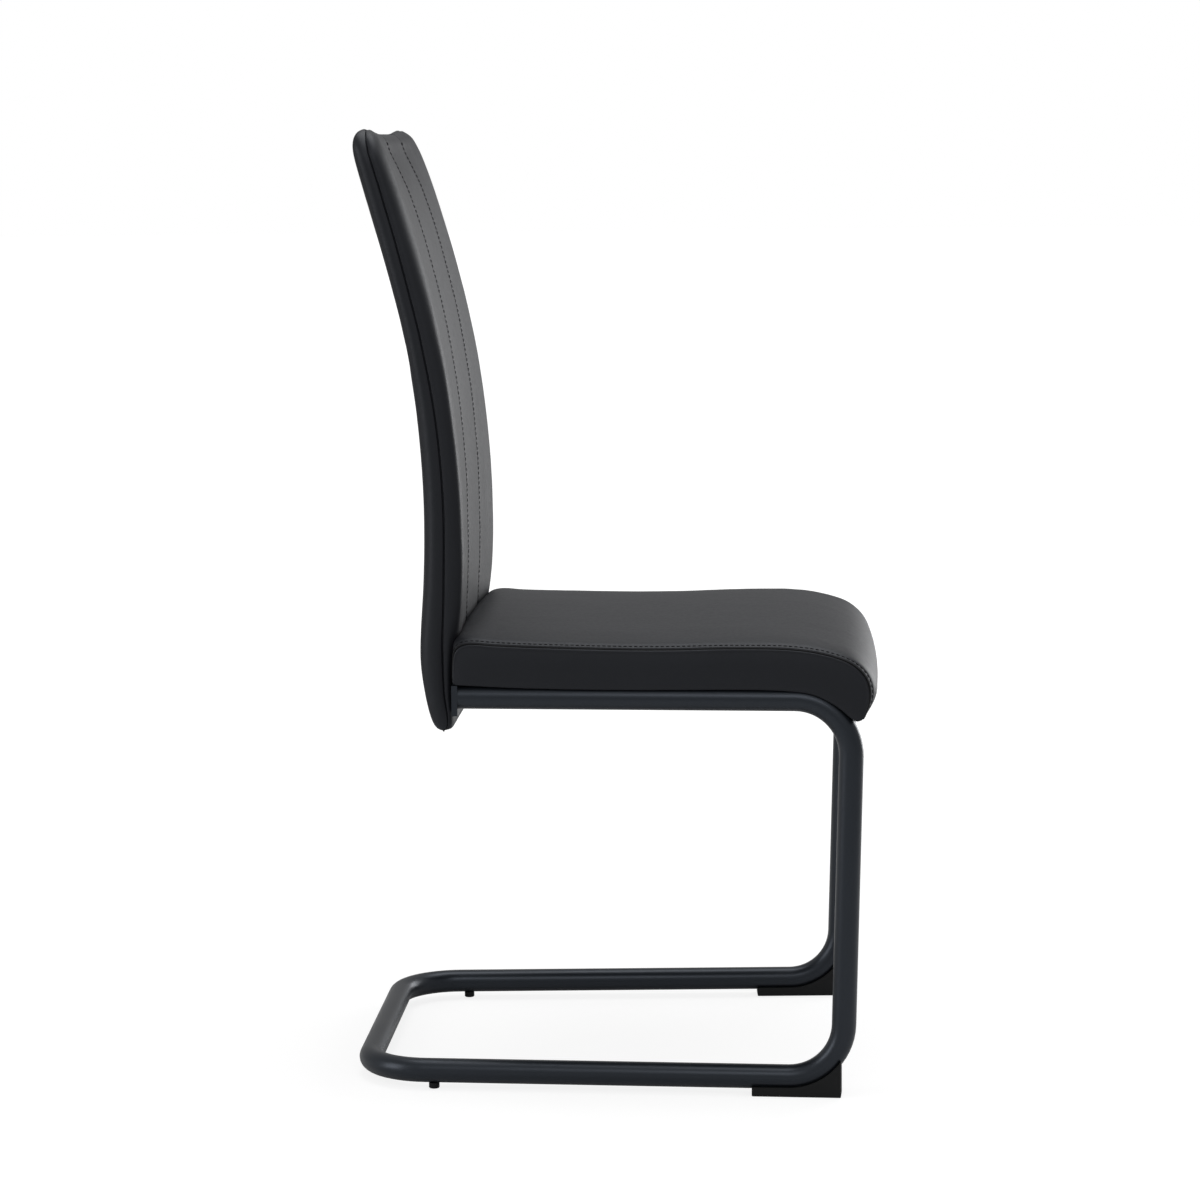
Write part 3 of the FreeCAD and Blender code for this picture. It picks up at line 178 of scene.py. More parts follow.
def new_material(name):
    """An empty node material and its tree."""
    made = bpy.data.materials.new(name)
    made.use_nodes = True
    made.node_tree.nodes.clear()
    return made, made.node_tree


def finish_material(tree, **sockets):
    """A principled shader with these sockets, by their names with spaces as underscores."""
    inputs = {name.replace("_", " "): value for name, value in sockets.items()}
    shader = add(tree, "BsdfPrincipled", inputs)
    add(tree, "OutputMaterial", {"Surface": shader.outputs["BSDF"]})


def per_mm(size):
    """Scale of a pattern on Object coordinates whose features are the given millimetres apart."""
    return 1.0 / (size * MM)


def make_faux_leather():
    """Polyurethane coated cloth embossed with a calf grain: deep satin black with dull creases."""
    made, tree = new_material("black_faux_leather")
    place = add(tree, "TexCoord").outputs["Object"]
    # Pebbles of the emboss are about 1.3 mm across, with a crease every 4 mm among them.
    pebbles = add(
        tree,
        "TexVoronoi",
        {"Vector": place, "Scale": per_mm(1.3), "Randomness": 1.0},
        feature="SMOOTH_F1",
    ).outputs["Distance"]
    creases = add(
        tree, "TexNoise", {"Vector": place, "Scale": per_mm(4.0), "Detail": 5.0, "Roughness": 0.6}
    ).outputs["Fac"]
    grain = add(tree, "Math", {0: pebbles, 1: creases}, operation="MULTIPLY").outputs["Value"]
    patches = add(
        tree, "TexNoise", {"Vector": place, "Scale": per_mm(70.0), "Detail": 3.0}
    ).outputs["Fac"]
    tones = {"Factor": patches, "A": linear("#0e0f12"), "B": linear("#141519")}
    colour = add(tree, "Mix", tones, data_type="RGBA")
    gloss = add(tree, "MapRange", {"Value": creases, "To Min": 0.42, "To Max": 0.56})
    bump = add(tree, "Bump", {"Height": grain, "Strength": 0.35, "Distance": 0.12 * MM})
    finish_material(
        tree,
        Base_Color=colour.outputs["Result"],
        Roughness=gloss.outputs["Result"],
        Specular_IOR_Level=0.38,
        Specular_Tint=linear("#e6ebf4"),
        Normal=bump.outputs["Normal"],
    )
    return made


def make_powder_coat():
    """Epoxy powder baked on steel: matt black with a fine orange peel that breaks up the highlight."""
    made, tree = new_material("black_powder_coat")
    place = add(tree, "TexCoord").outputs["Object"]
    peel = add(
        tree, "TexNoise", {"Vector": place, "Scale": per_mm(0.9), "Detail": 2.0}
    ).outputs["Fac"]
    drift = add(
        tree, "TexNoise", {"Vector": place, "Scale": per_mm(90.0), "Detail": 2.0}
    ).outputs["Fac"]
    gloss = add(tree, "MapRange", {"Value": drift, "To Min": 0.3, "To Max": 0.38})
    bump = add(tree, "Bump", {"Height": peel, "Strength": 0.3, "Distance": 0.05 * MM})
    finish_material(
        tree,
        Base_Color=linear("#15181c"),
        Roughness=gloss.outputs["Result"],
        Specular_IOR_Level=0.6,
        Specular_Tint=linear("#d8e2f2"),
        Normal=bump.outputs["Normal"],
    )
    return made


def make_moulded_nylon():
    """Injection moulded polyamide with a spark eroded surface: flat black, hardly a highlight."""
    made, tree = new_material("black_moulded_nylon")
    place = add(tree, "TexCoord").outputs["Object"]
    erosion = add(
        tree, "TexNoise", {"Vector": place, "Scale": per_mm(0.5), "Detail": 3.0}
    ).outputs["Fac"]
    scuffs = add(
        tree, "TexNoise", {"Vector": place, "Scale": per_mm(14.0), "Detail": 6.0, "Roughness": 0.7}
    ).outputs["Fac"]
    gloss = add(tree, "MapRange", {"Value": scuffs, "To Min": 0.5, "To Max": 0.66})
    bump = add(tree, "Bump", {"Height": erosion, "Strength": 0.3, "Distance": 0.06 * MM})
    finish_material(
        tree,
        Base_Color=linear("#111213"),
        Roughness=gloss.outputs["Result"],
        Specular_IOR_Level=0.25,
        Normal=bump.outputs["Normal"],
    )
    return made


def make_zinc_plate():
    """Bright zinc on steel screws, nuts and washers: pale metal, clouded by passivation."""
    made, tree = new_material("zinc_plated_steel")
    place = add(tree, "TexCoord").outputs["Object"]
    clouds = add(
        tree, "TexNoise", {"Vector": place, "Scale": per_mm(5.0), "Detail": 4.0}
    ).outputs["Fac"]
    tones = {"Factor": clouds, "A": linear("#b9bcbf"), "B": linear("#a8abb0")}
    colour = add(tree, "Mix", tones, data_type="RGBA")
    gloss = add(tree, "MapRange", {"Value": clouds, "To Min": 0.28, "To Max": 0.42})
    finish_material(
        tree,
        Base_Color=colour.outputs["Result"],
        Metallic=1.0,
        Roughness=gloss.outputs["Result"],
    )
    return made


def make_plywood():
    """Rotary cut beech ply, sanded and raw: long fine pores over a pale brown ground."""
    made, tree = new_material("raw_beech_plywood")
    place = add(tree, "TexCoord").outputs["Object"]
    stretched = add(tree, "Mapping", {"Vector": place, "Scale": (0.08, 1.0, 1.0)}).outputs["Vector"]
    grain = add(
        tree, "TexNoise", {"Vector": stretched, "Scale": per_mm(2.5), "Detail": 6.0, "Roughness": 0.7}
    ).outputs["Fac"]
    tones = {"Factor": grain, "A": linear("#c09a6b"), "B": linear("#dcbf95")}
    colour = add(tree, "Mix", tones, data_type="RGBA")
    bump = add(tree, "Bump", {"Height": grain, "Strength": 0.2, "Distance": 0.1 * MM})
    finish_material(
        tree, Base_Color=colour.outputs["Result"], Roughness=0.62, Normal=bump.outputs["Normal"]
    )
    return made


def make_dust_cloth():
    """Spun bonded polypropylene: dull black felt of loose threads, point bonded every 1.5 mm."""
    made, tree = new_material("black_spunbond_cloth")
    place = add(tree, "TexCoord").outputs["Object"]
    fibres = add(
        tree, "TexNoise", {"Vector": place, "Scale": per_mm(0.7), "Detail": 6.0, "Roughness": 0.8}
    ).outputs["Fac"]
    bonds = add(
        tree, "TexVoronoi", {"Vector": place, "Scale": per_mm(1.5), "Randomness": 0.1}
    ).outputs["Distance"]
    height = add(tree, "Math", {0: fibres, 1: bonds}, operation="ADD").outputs["Value"]
    tones = {"Factor": fibres, "A": linear("#0e0e0f"), "B": linear("#202021")}
    colour = add(tree, "Mix", tones, data_type="RGBA")
    bump = add(tree, "Bump", {"Height": height, "Strength": 0.6, "Distance": 0.2 * MM})
    finish_material(
        tree,
        Base_Color=colour.outputs["Result"],
        Roughness=0.9,
        Specular_IOR_Level=0.2,
        Normal=bump.outputs["Normal"],
    )
    return made


def make_thread():
    """Bonded polyester sewing thread, blacker and duller than the leather it holds."""
    made, tree = new_material("black_polyester_thread")
    place = add(tree, "TexCoord").outputs["Object"]
    twist = add(
        tree, "TexNoise", {"Vector": place, "Scale": per_mm(0.5), "Detail": 2.0}
    ).outputs["Fac"]
    tones = {"Factor": twist, "A": linear("#08080a"), "B": linear("#121316")}
    colour = add(tree, "Mix", tones, data_type="RGBA")
    finish_material(tree, Base_Color=colour.outputs["Result"], Roughness=0.7, Specular_IOR_Level=0.2)
    return made


FAUX_LEATHER = make_faux_leather()
POWDER_COAT = make_powder_coat()
MOULDED_NYLON = make_moulded_nylon()
ZINC_PLATE = make_zinc_plate()
PLYWOOD = make_plywood()
DUST_CLOTH = make_dust_cloth()
THREAD = make_thread()


# Curves and meshes that the cushions share.


class Run:
    """A smooth line through (y, z) points, read by its share of the length."""

    def __init__(self, points, steps=12):
        dense = []
        for i in range(len(points) - 1):
            p = [Vector(points[min(max(i + k, 0), len(points) - 1)]) for k in (-1, 0, 1, 2)]
            for step in range(steps):
                dense.append(self.between(p, step / steps))
        dense.append(Vector(points[-1]))
        self.points = dense
        self.lengths = [0.0]
        for a, b in zip(dense, dense[1:]):
            self.lengths.append(self.lengths[-1] + (b - a).length)
        self.length = self.lengths[-1]

    @staticmethod
    def between(p, t):
        """A point between the middle two of four, on the smooth curve through them."""
        return 0.5 * (
            2 * p[1]
            + (p[2] - p[0]) * t
            + (2 * p[0] - 5 * p[1] + 4 * p[2] - p[3]) * t * t
            + (3 * p[1] - p[0] - 3 * p[2] + p[3]) * t**3
        )

    def at(self, share):
        """The point at this share of the length."""
        wanted = min(max(share, 0.0), 1.0) * self.length
        low, high = 0, len(self.lengths) - 1
        while high - low > 1:
            middle = (low + high) // 2
            if self.lengths[middle] <= wanted:
                low = middle
            else:
                high = middle
        part = (wanted - self.lengths[low]) / (self.lengths[high] - self.lengths[low])
        return self.points[low].lerp(self.points[high], part)

    def outward(self, share):
        """Unit normal to the left of travel."""
        along = (self.at(share + 0.004) - self.at(share - 0.004)).normalized()
        return Vector((along.y, -along.x))


def ease(share):
    """Nought to one with a soft start and end."""
    share = min(max(share, 0.0), 1.0)
    return share * share * (3 - 2 * share)


def read(table, place):
    """Value of a table of (place, value) rows at a place among them."""
    for (a, low), (b, high) in zip(table, table[1:]):
        if place <= b:
            return low + (high - low) * ease((place - a) / (b - a))
    return table[-1][1]


def grid_panel(bm, columns, rows, place):
    """A grid whose points are moved to place(column, row); gives its points by column and row."""
    made = bmesh.ops.create_grid(bm, x_segments=len(columns) - 1, y_segments=len(rows) - 1, size=1.0)
    points = sorted(made["verts"], key=lambda v: (round(v.co.x, 5), round(v.co.y, 5)))
    table = {}
    for number, point in enumerate(points):
        i, j = divmod(number, len(rows))
        point.co = place(columns[i], rows[j]) * MM
        table[i, j] = point
    return table


def new_cover():
    """An empty mesh that can mark its sewn edges and its held points."""
    bm = bmesh.new()
    bm.edges.layers.float.new("crease_edge")
    bm.verts.layers.float.new("held")
    return bm


def near_seam(away):
    """How firmly a seam holds the cover at this distance from it: fully within the stitches."""
    return 1 - ease((away - 1.5 * STITCH_INSET) / SEAM_HOLD)


def sew(bm, lines):
    """Marks the edges along lines of points as seams that later steps find again."""
    crease = bm.edges.layers.float["crease_edge"]
    for line in lines:
        for a, b in zip(line, line[1:]):
            edge = bm.edges.get((a, b))
            if edge:
                edge[crease] = 1.0


def new_piece(name, bm, material):
    """Makes an object of a finished mesh and gives it its material."""
    mesh = bpy.data.meshes.new(name)
    bm.to_mesh(mesh)
    bm.free()
    mesh.materials.append(material)
    mesh.shade_smooth()
    made = bpy.data.objects.new(name, mesh)
    bpy.context.scene.collection.objects.link(made)
    return made


CLOTH_FRAMES = 20


def inflate(piece, held, pressure, cap):
    """Lets the foam push the free points of a cover out, each by at most cap."""
    group = piece.vertex_groups.new(name="held")
    for index in range(len(piece.data.vertices)):
        if index in held:
            group.add([index], held[index], "REPLACE")
    cloth = piece.modifiers.new("foam_pressure", "CLOTH")
    settings = cloth.settings
    settings.vertex_group_mass = "held"
    settings.use_pressure = True
    settings.uniform_pressure_force = pressure
    settings.effector_weights.gravity = 0.0
    settings.mass = 0.4
    settings.tension_stiffness = 40.0
    settings.compression_stiffness = 40.0
    settings.shear_stiffness = 20.0
    settings.bending_stiffness = 4.0
    settings.quality = 6
    rest = [v.co.copy() for v in piece.data.vertices]
    scene = bpy.context.scene
    for number in range(1, CLOTH_FRAMES + 1):
        scene.frame_set(number)
    shaped = piece.evaluated_get(bpy.context.evaluated_depsgraph_get()).data
    moved = [v.co.copy() for v in shaped.vertices]
    piece.modifiers.remove(cloth)
    piece.vertex_groups.clear()
    scene.frame_set(1)
    for vertex, start, end in zip(piece.data.vertices, rest, moved):
        step = end - start
        length = step.length
        if length > 1e-9:
            vertex.co = start + step * (cap * MM * math.tanh(length / (cap * MM)) / length)


def subdivide(piece, levels):
    """Rounds a cover between its points, and writes that into its mesh."""
    modifier = piece.modifiers.new("subdivision", "SUBSURF")
    modifier.levels = levels
    modifier.render_levels = levels
    modifier.boundary_smooth = "PRESERVE_CORNERS"
    shaped = bpy.data.meshes.new_from_object(
        piece.evaluated_get(bpy.context.evaluated_depsgraph_get())
    )
    piece.modifiers.remove(modifier)
    shaped.name = piece.name
    piece.data = shaped


# Unevenness of stretched covers: broad waves, and shallower ones between them.
BROAD_WAVE = 38
SMALL_WAVE = 11
SMALL_WAVE_SHARE = 0.4
BESIDE_SEAM_SHARE = 0.75


def pull_seams(piece, depth, ripple):
    """Draws the sewn lines in and lays a slight unevenness over the whole cover."""
    bm = bmesh.new()
    bm.from_mesh(piece.data)
    bm.normal_update()
    crease = bm.edges.layers.float["crease_edge"]
    edges = [e for e in bm.edges if e[crease] > 0.5]
    sewn = {v for e in edges for v in e.verts if sum(n[crease] > 0.5 for n in v.link_edges) == 2}
    for point in bm.verts:
        wave = noise.noise(point.co / (BROAD_WAVE * MM))
        wave += SMALL_WAVE_SHARE * noise.noise(point.co / (SMALL_WAVE * MM))
        point.co += point.normal * wave * ripple * MM
    beside = {e.other_vert(v) for v in sewn for e in v.link_edges if e[crease] < 0.5} - sewn
    shifts = [(v, v.normal * depth) for v in sewn]
    shifts += [(v, v.normal * depth * BESIDE_SEAM_SHARE) for v in beside]
    for point, shift in shifts:
        point.co -= shift * MM
    # A corner where seams meet settles between its neighbours along them.
    for corner in {v for e in edges for v in e.verts} - sewn:
        along = [e.other_vert(corner).co for e in corner.link_edges if e[crease] > 0.5]
        corner.co = sum(along, Vector()) / len(along)
    bm.to_mesh(piece.data)
    bm.free()
    piece.data.shade_smooth()


def surface_of(piece):
    """A finished piece's surface, for dropping stitches on."""
    return BVHTree.FromObject(piece, bpy.context.evaluated_depsgraph_get())


# A stitch is dropped from this far outside its path, over this reach, and stands a little proud.
DROP_FROM = 12
DROP_REACH = 30
STITCH_PROUD_SHARE = 0.12


def stitch_line(bm, surface, path):
    """Sews thread stitches along path, (point, outward) pairs that are dropped on the surface."""
    dropped = []
    for point, outward in path:
        start = (point + outward * DROP_FROM) * MM
        hit, normal, _, _ = surface.ray_cast(start, -outward, DROP_REACH * MM)
        if hit:
            dropped.append((hit / MM, normal))
    covered, due = 0.0, STITCH_PITCH / 2
    for (a, normal), (b, _) in zip(dropped, dropped[1:]):
        step = (b - a).length
        if step < 1e-6:
            continue
        along = (b - a).normalized()
        while covered + step >= due:
            middle = a + along * (due - covered)
            side = normal.cross(along).normalized()
            up = along.cross(side)
            turn = Matrix((along, side, up)).transposed().to_4x4()
            round_half = STITCH_THICKNESS / 2
            shape = Matrix.Diagonal((STITCH_LENGTH / 2, round_half, round_half, 1.0))
            centre = middle + up * STITCH_THICKNESS * STITCH_PROUD_SHARE
            place = Matrix.Translation(centre * MM) @ turn @ shape
            bmesh.ops.create_icosphere(bm, subdivisions=2, radius=MM, matrix=place)
            due += STITCH_PITCH
        covered += step


# Seat cushion.

SEAM_RUN = Run(SEAT_SEAM)
LOWER_RUN = Run(SEAT_LOWER_EDGE)


def seat_half_width(y):
    """The seat narrows to the rear as the rails below it do."""
    return TUBE_AXIS_X + SEAT_OVERHANG - (y - FRONT_CORNER_Y) * math.tan(TAPER)


def top_weight(row):
    """Share of the swell along the profile: none where the seat meets the back and the tube."""
    point = SEAM_RUN.at(row)
    rear = ease((point.y - 450) / 14) if point.x > 120 else 1.0
    lip = ease((1 - row) * SEAM_RUN.length / 34)
    return rear * lip


def seat_top_point(column, row):
    """column is (side, distance from the side seam): a steep shoulder, then a slow crown."""
    side, inside = column
    point = SEAM_RUN.at(row)
    half = seat_half_width(point.x)
    share = min(inside / SEAT_HALF_SPAN, 1.0)
    swell = SEAT_SHOULDER * (1 - math.exp(-inside / SEAT_SHOULDER_REACH))
    swell += SEAT_CROWN * math.sin(share * math.pi / 2)
    dip = SEAT_STITCH_DIP * math.exp(-(((inside - STITCH_INSET) / STITCH_GROOVE) ** 2))
    point = point + SEAM_RUN.outward(row) * (swell - dip) * top_weight(row)
    inward = inside * half / SEAT_HALF_SPAN
    return Vector((side * (half - inward), point.x, point.y))


def seat_side_point(side, share, row):
    """share runs from the side seam down to the lower edge."""
    upper, lower = SEAM_RUN.at(row), LOWER_RUN.at(row)
    point = upper.lerp(lower, share)
    tall = (upper - lower).length
    bulge = SEAT_SIDE_BULGE * math.sin(math.pi * share) ** 0.8
    down = share * tall
    if PIPING_UPPER < down < PIPING_LOWER:
        across = (down - PIPING_UPPER) / (PIPING_LOWER - PIPING_UPPER)
        bulge += PIPING_HEIGHT * math.sin(math.pi * across)
    bulge *= ease(tall / 30)
    half = seat_half_width(point.x)
    return Vector((side * (half + bulge), point.x, point.y))


def seat_under_point(column, row):
    """The underside: flat on the dust cover, and clear of the tube's bend below the lip."""
    side, inside = column
    edge = LOWER_RUN.at(row)
    half = seat_half_width(edge.x)
    y, z = edge
    depth = ease(inside / SEAT_SHOULDER_REACH)
    if z > 390 and y > TOP_BEND[0]:
        z = z + (SEAT_UNDERSIDE - z) * depth
    elif 0 < row < 1:
        reach = (Vector((y, z)) - Vector(TOP_BEND)).length
        scale = 1 + (BEND_CLEAR_RADIUS / reach - 1) * depth
        y = TOP_BEND[0] + (y - TOP_BEND[0]) * scale
        z = TOP_BEND[1] + (z - TOP_BEND[1]) * scale
    return Vector((side * (half - inside * half / SEAT_HALF_SPAN), y, z))


def make_seat():
    """The seat's cover: top and front in one panel, two side panels and the closed underside."""
    bm = new_cover()
    # Columns and rows crowd towards the seams, where the cover turns most.
    steps = [0.0, 1.1, 2.0, 3.2, STITCH_INSET, 5.7, 7.2, 9.6, 13.2, 18.0, 24.0, 31.0]
    steps += [31 + (SEAT_HALF_SPAN - 31) * i / 30 for i in range(1, 31)]
    columns = [(-1, d) for d in steps] + [(1, d) for d in reversed(steps[:-1])]
    rows = [i / SEAT_ROWS for i in range(SEAT_ROWS + 1)]
    downs = [0.0, 1.4, 2.0, 2.6, 3.2, 4.0, 5.4, 9.0, 14.0, 21.0, 28.0, 34.0, 38.5, SEAT_SIDE_HEIGHT]
    shares = [down / SEAT_SIDE_HEIGHT for down in downs]
    top = grid_panel(bm, columns, rows, seat_top_point)
    under = grid_panel(bm, columns, rows, seat_under_point)
    near = grid_panel(bm, shares, rows, lambda share, row: seat_side_point(-1, share, row))
    far = grid_panel(bm, shares, rows, lambda share, row: seat_side_point(1, share, row))
    last = len(columns) - 1
    sew(bm, [[top[i, j] for j in range(len(rows))] for i in (0, last)])
    sew(bm, [[side[0, j] for j in range(len(rows))] for side in (near, far)])
    mark = bm.verts.layers.float["held"]
    for point in under.values():
        point[mark] = 1.0
    for (i, j), point in top.items():
        end = min(j, SEAT_ROWS - j) * SEAT_ROW_SPACING
        point[mark] = max(near_seam(columns[i][1]), near_seam(end))
    for side in (near, far):
        for (i, j), point in side.items():
            edge = min(downs[i], SEAT_SIDE_HEIGHT - downs[i])
            point[mark] = max(near_seam(edge), near_seam(j * SEAT_ROW_SPACING))
    bmesh.ops.remove_doubles(bm, verts=bm.verts, dist=0.02 * MM)
    bmesh.ops.dissolve_degenerate(bm, edges=bm.edges, dist=0.01 * MM)
    bmesh.ops.recalc_face_normals(bm, faces=bm.faces)
    bm.verts.index_update()
    held = {v.index: v[mark] for v in bm.verts if v[mark] > 0}
    seat = new_piece("seat_cushion", bm, FAUX_LEATHER)
    inflate(seat, held, pressure=4.0, cap=1.5)
    subdivide(seat, 1)
    pull_seams(seat, SEAM_DEPTH, ripple=0.2)
    return seat


def sew_seat(seat):
    """One row of topstitches beside each side seam, on the top panel."""
    bm = bmesh.new()
    surface = surface_of(seat)
    for side in (-1, 1):
        path = []
        # From above the foot of the back to the end of the lip, in 350ths of the seam.
        for i in range(12, 340):
            row = i / 350
            normal = SEAM_RUN.outward(row)
            outward = Vector((0.35 * side, normal.x, normal.y)).normalized()
            path.append((seat_top_point((side, STITCH_INSET), row), outward))
        stitch_line(bm, surface, path)
    return new_piece("seat_topstitching", bm, THREAD)


def make_dark_seam_lines():
    """A thin near-black tube sunk into each side seam of the seat, which darkens the line of the groove
    between the panels.
    """
    data = bpy.data.curves.new("seat_dark_seam_lines", "CURVE")
    data.dimensions = "3D"
    data.bevel_depth = SEAM_LINE_RADIUS * MM
    data.bevel_resolution = 2
    data.use_fill_caps = True
    steps = 260
    for side in (-1, 1):
        spline = data.splines.new("POLY")
        spline.points.add(steps)
        for i in range(steps + 1):
            row = 0.01 + 0.98 * i / steps
            normal = SEAM_RUN.outward(row)
            outward = Vector((side, normal.x, normal.y)).normalized()
            place = (seat_top_point((side, 0.0), row) - outward * SEAM_LINE_SINK) * MM
            spline.points[i].co = (*place, 1.0)
    cord = bpy.data.objects.new("seat_dark_seam_lines_curve", data)
    bpy.context.scene.collection.objects.link(cord)
    graph = bpy.context.evaluated_depsgraph_get()
    bm = bmesh.new()
    bm.from_mesh(bpy.data.meshes.new_from_object(cord.evaluated_get(graph)))
    bpy.data.objects.remove(cord)
    bmesh.ops.remove_doubles(bm, verts=bm.verts, dist=0.01 * MM)
    return new_piece("seat_dark_seam_lines", bm, THREAD)


# Back cushion.

FRONT_RUN = Run(BACK_FRONT)
SIDE_RUN = Run(BACK_SIDE_SEAM)
REAR_RUN = Run(BACK_REAR)


def back_half_width(z):
    """The sides of the back round off towards its top corners, and a little at its bottom."""
    share = min(max((z - (BACK_TOP - TOP_CORNER)) / TOP_CORNER, 0.0), 0.995)
    low = min(max((380.0 - z) / FOOT_CORNER, 0.0), 1.0)
    return BACK_HALF_WIDTH - TOP_CORNER * (1 - math.sqrt(1 - share * share)) - 2.6 * low * low


def back_point(run, forward, column, row):
    """column is (side, turn, x): turn runs round the rounded side and is one from the ridge inwards."""
    side, turn, x = column
    seam, face = SIDE_RUN.at(row), run.at(row)
    if forward:
        # Higher up, the rounding of the side reaches further in.
        softer = UPPER_SOFTNESS * ease((seam.y - 700) / 200)
        if turn < 1:
            x -= softer * (1 - math.cos(turn * math.pi / 2))
        else:
            x -= softer * ease((x - BOLSTER_INNER_X) / BOLSTER_BREADTH)
    half = back_half_width(seam.y)
    point = seam.lerp(face, math.sin(turn * math.pi / 2))
    edge = min(row, 1 - row) * run.length
    open_row = ease(edge / 30.0)
    away = (point - seam).length
    valley = SIDE_VALLEY * math.exp(-((away / 5.0) ** 2)) * ease(edge / 22.0) * (1 - turn)
    drawn = 1 - half / BACK_HALF_WIDTH
    width = (x - valley) * (1 - drawn * (x / BACK_HALF_WIDTH) ** 3)
    y, z = point
    inner = ease((BACK_HALF_WIDTH - SIDE_ROUND - x) / HOLLOW_EDGE)
    if forward:
        hollow = read(BACK_HOLLOW, z)
        y += hollow * inner * open_row
        if x > PANEL_SEAM_X:
            across = (x - PANEL_SEAM_X) / (BACK_HALF_WIDTH - SIDE_ROUND - PANEL_SEAM_X)
            across = min(max(across, 0.0), 1.0)
        else:
            across = x / PANEL_SEAM_X * 0.5 + 0.5
        puff = PANEL_PUFF * max(math.sin(math.pi * across), 0.0) ** 0.7
        beside = abs(abs(x - PANEL_SEAM_X) - STITCH_INSET)
        puff -= BACK_STITCH_DIP * math.exp(-((beside / STITCH_GROOVE) ** 2))
        y -= puff * open_row * ease((z - FLAT_BELOW) / 30)
    else:
        y += REAR_PUFF * inner * open_row
    dip = ease((z - 900) / 80) * TOP_DIP * (1 - ease((x / TOP_DIP_HALF_WIDTH) ** 2))
    return Vector((side * width, y, z - dip))


def back_columns():
    """Columns of the back as (side, turn, x), closest where the cover turns and at its seams."""
    turns = [0.0, 0.035, 0.075, 0.13, 0.2, 0.29, 0.4, 0.52, 0.66, 0.82, 1.0]
    rounded = [(t, BACK_HALF_WIDTH - SIDE_ROUND * (1 - math.cos(t * math.pi / 2))) for t in turns]
    ridge = BACK_HALF_WIDTH - SIDE_ROUND
    outer = [ridge - (ridge - BOLSTER_INNER_X) * i / 15 for i in range(1, 16)]
    beside = [PANEL_SEAM_X + d for d in (7.4, 5.6, STITCH_INSET, 3.2, 1.9, 0.8)] + [PANEL_SEAM_X]
    beside += [PANEL_SEAM_X - d for d in (0.8, 1.9, 3.2, STITCH_INSET, 5.6, 7.4, 10.5)]
    inner = [54.0, 47.0, 40.0, 32.0, 24.0, 16.0, 8.0, 0.0]
    half = rounded + [(1.0, x) for x in outer + beside + inner]
    return [(-1, t, x) for t, x in half] + [(1, t, x) for t, x in reversed(half[:-1])]


def make_back():
    """The back's cover: three panels and two bolsters in front, one panel with side bands behind."""
    bm = new_cover()
    columns = back_columns()
    # Rows crowd towards the sewn ends.
    rows = [0.0, 0.004, 0.01, 0.018, 0.027] + [0.037 + 0.915 * i / 82 for i in range(83)]
    rows += [0.963, 0.973, 0.982, 0.99, 0.996, 1.0]
    front = grid_panel(bm, columns, rows, lambda c, r: back_point(FRONT_RUN, True, c, r))
    rear = grid_panel(bm, columns, rows, lambda c, r: back_point(REAR_RUN, False, c, r))
    last, top = len(columns) - 1, len(rows) - 1
    panel_seams = [i for i, (_, _, x) in enumerate(columns) if x == PANEL_SEAM_X]
    for panel in (front, rear):
        sew(bm, [[panel[i, j] for j in range(top + 1)] for i in (0, last)])
        sew(bm, [[panel[i, j] for i in range(last + 1)] for j in (0, top)])
    sew(bm, [[front[i, j] for j in range(top + 1)] for i in panel_seams])
    mark = bm.verts.layers.float["held"]
    for panel in (front, rear):
        for (i, j), point in panel.items():
            _, turn, x = columns[i]
            around = SIDE_ARC * turn
            if turn == 1:
                around += BACK_HALF_WIDTH - SIDE_ROUND - x
            end = min(rows[j], 1 - rows[j]) * BACK_LENGTH
            point[mark] = max(near_seam(around), near_seam(end))
            if panel is front:
                point[mark] = max(point[mark], near_seam(abs(x - PANEL_SEAM_X)))
                if point.co.z < HELD_BELOW * MM:
                    point[mark] = 1.0
    bmesh.ops.remove_doubles(bm, verts=bm.verts, dist=0.02 * MM)
    bmesh.ops.recalc_face_normals(bm, faces=bm.faces)
    bm.verts.index_update()
    held = {v.index: v[mark] for v in bm.verts if v[mark] > 0}
    back = new_piece("back_cushion", bm, FAUX_LEATHER)
    inflate(back, held, pressure=3.0, cap=1.2)
    subdivide(back, 1)
    pull_seams(back, SEAM_DEPTH, ripple=0.18)
    return back


def sew_back(back):
    """Two rows of topstitches beside each of the two seams of the back's front."""
    bm = bmesh.new()
    surface = surface_of(back)
    forward = Vector((0.0, -1.0, 0.12)).normalized()
    for side in (-1, 1):
        for x in (PANEL_SEAM_X - STITCH_INSET, PANEL_SEAM_X + STITCH_INSET):
            path = [
                (back_point(FRONT_RUN, True, (side, 1.0, x), 0.11 + 0.865 * i / 300), forward)
                for i in range(301)
            ]
            stitch_line(bm, surface, path)
    return new_piece("back_topstitching", bm, THREAD)


seat = make_seat()
seat_stitches = sew_seat(seat)
dark_seam_lines = make_dark_seam_lines()
back = make_back()
back_stitches = sew_back(back)

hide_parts("seat_cover_top", "seat_cover_left", "seat_cover_right", "seat_foam")
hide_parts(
    "back_cover_centre",
    "back_cover_left",
    "back_cover_right",
    "back_cover_rear",
    "back_foam",
    "back_rear_padding",
)
for piece in (seat, seat_stitches, dark_seam_lines, back, back_stitches):
    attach(piece, BODY)


# Finishes of the pieces that stay as they were built.

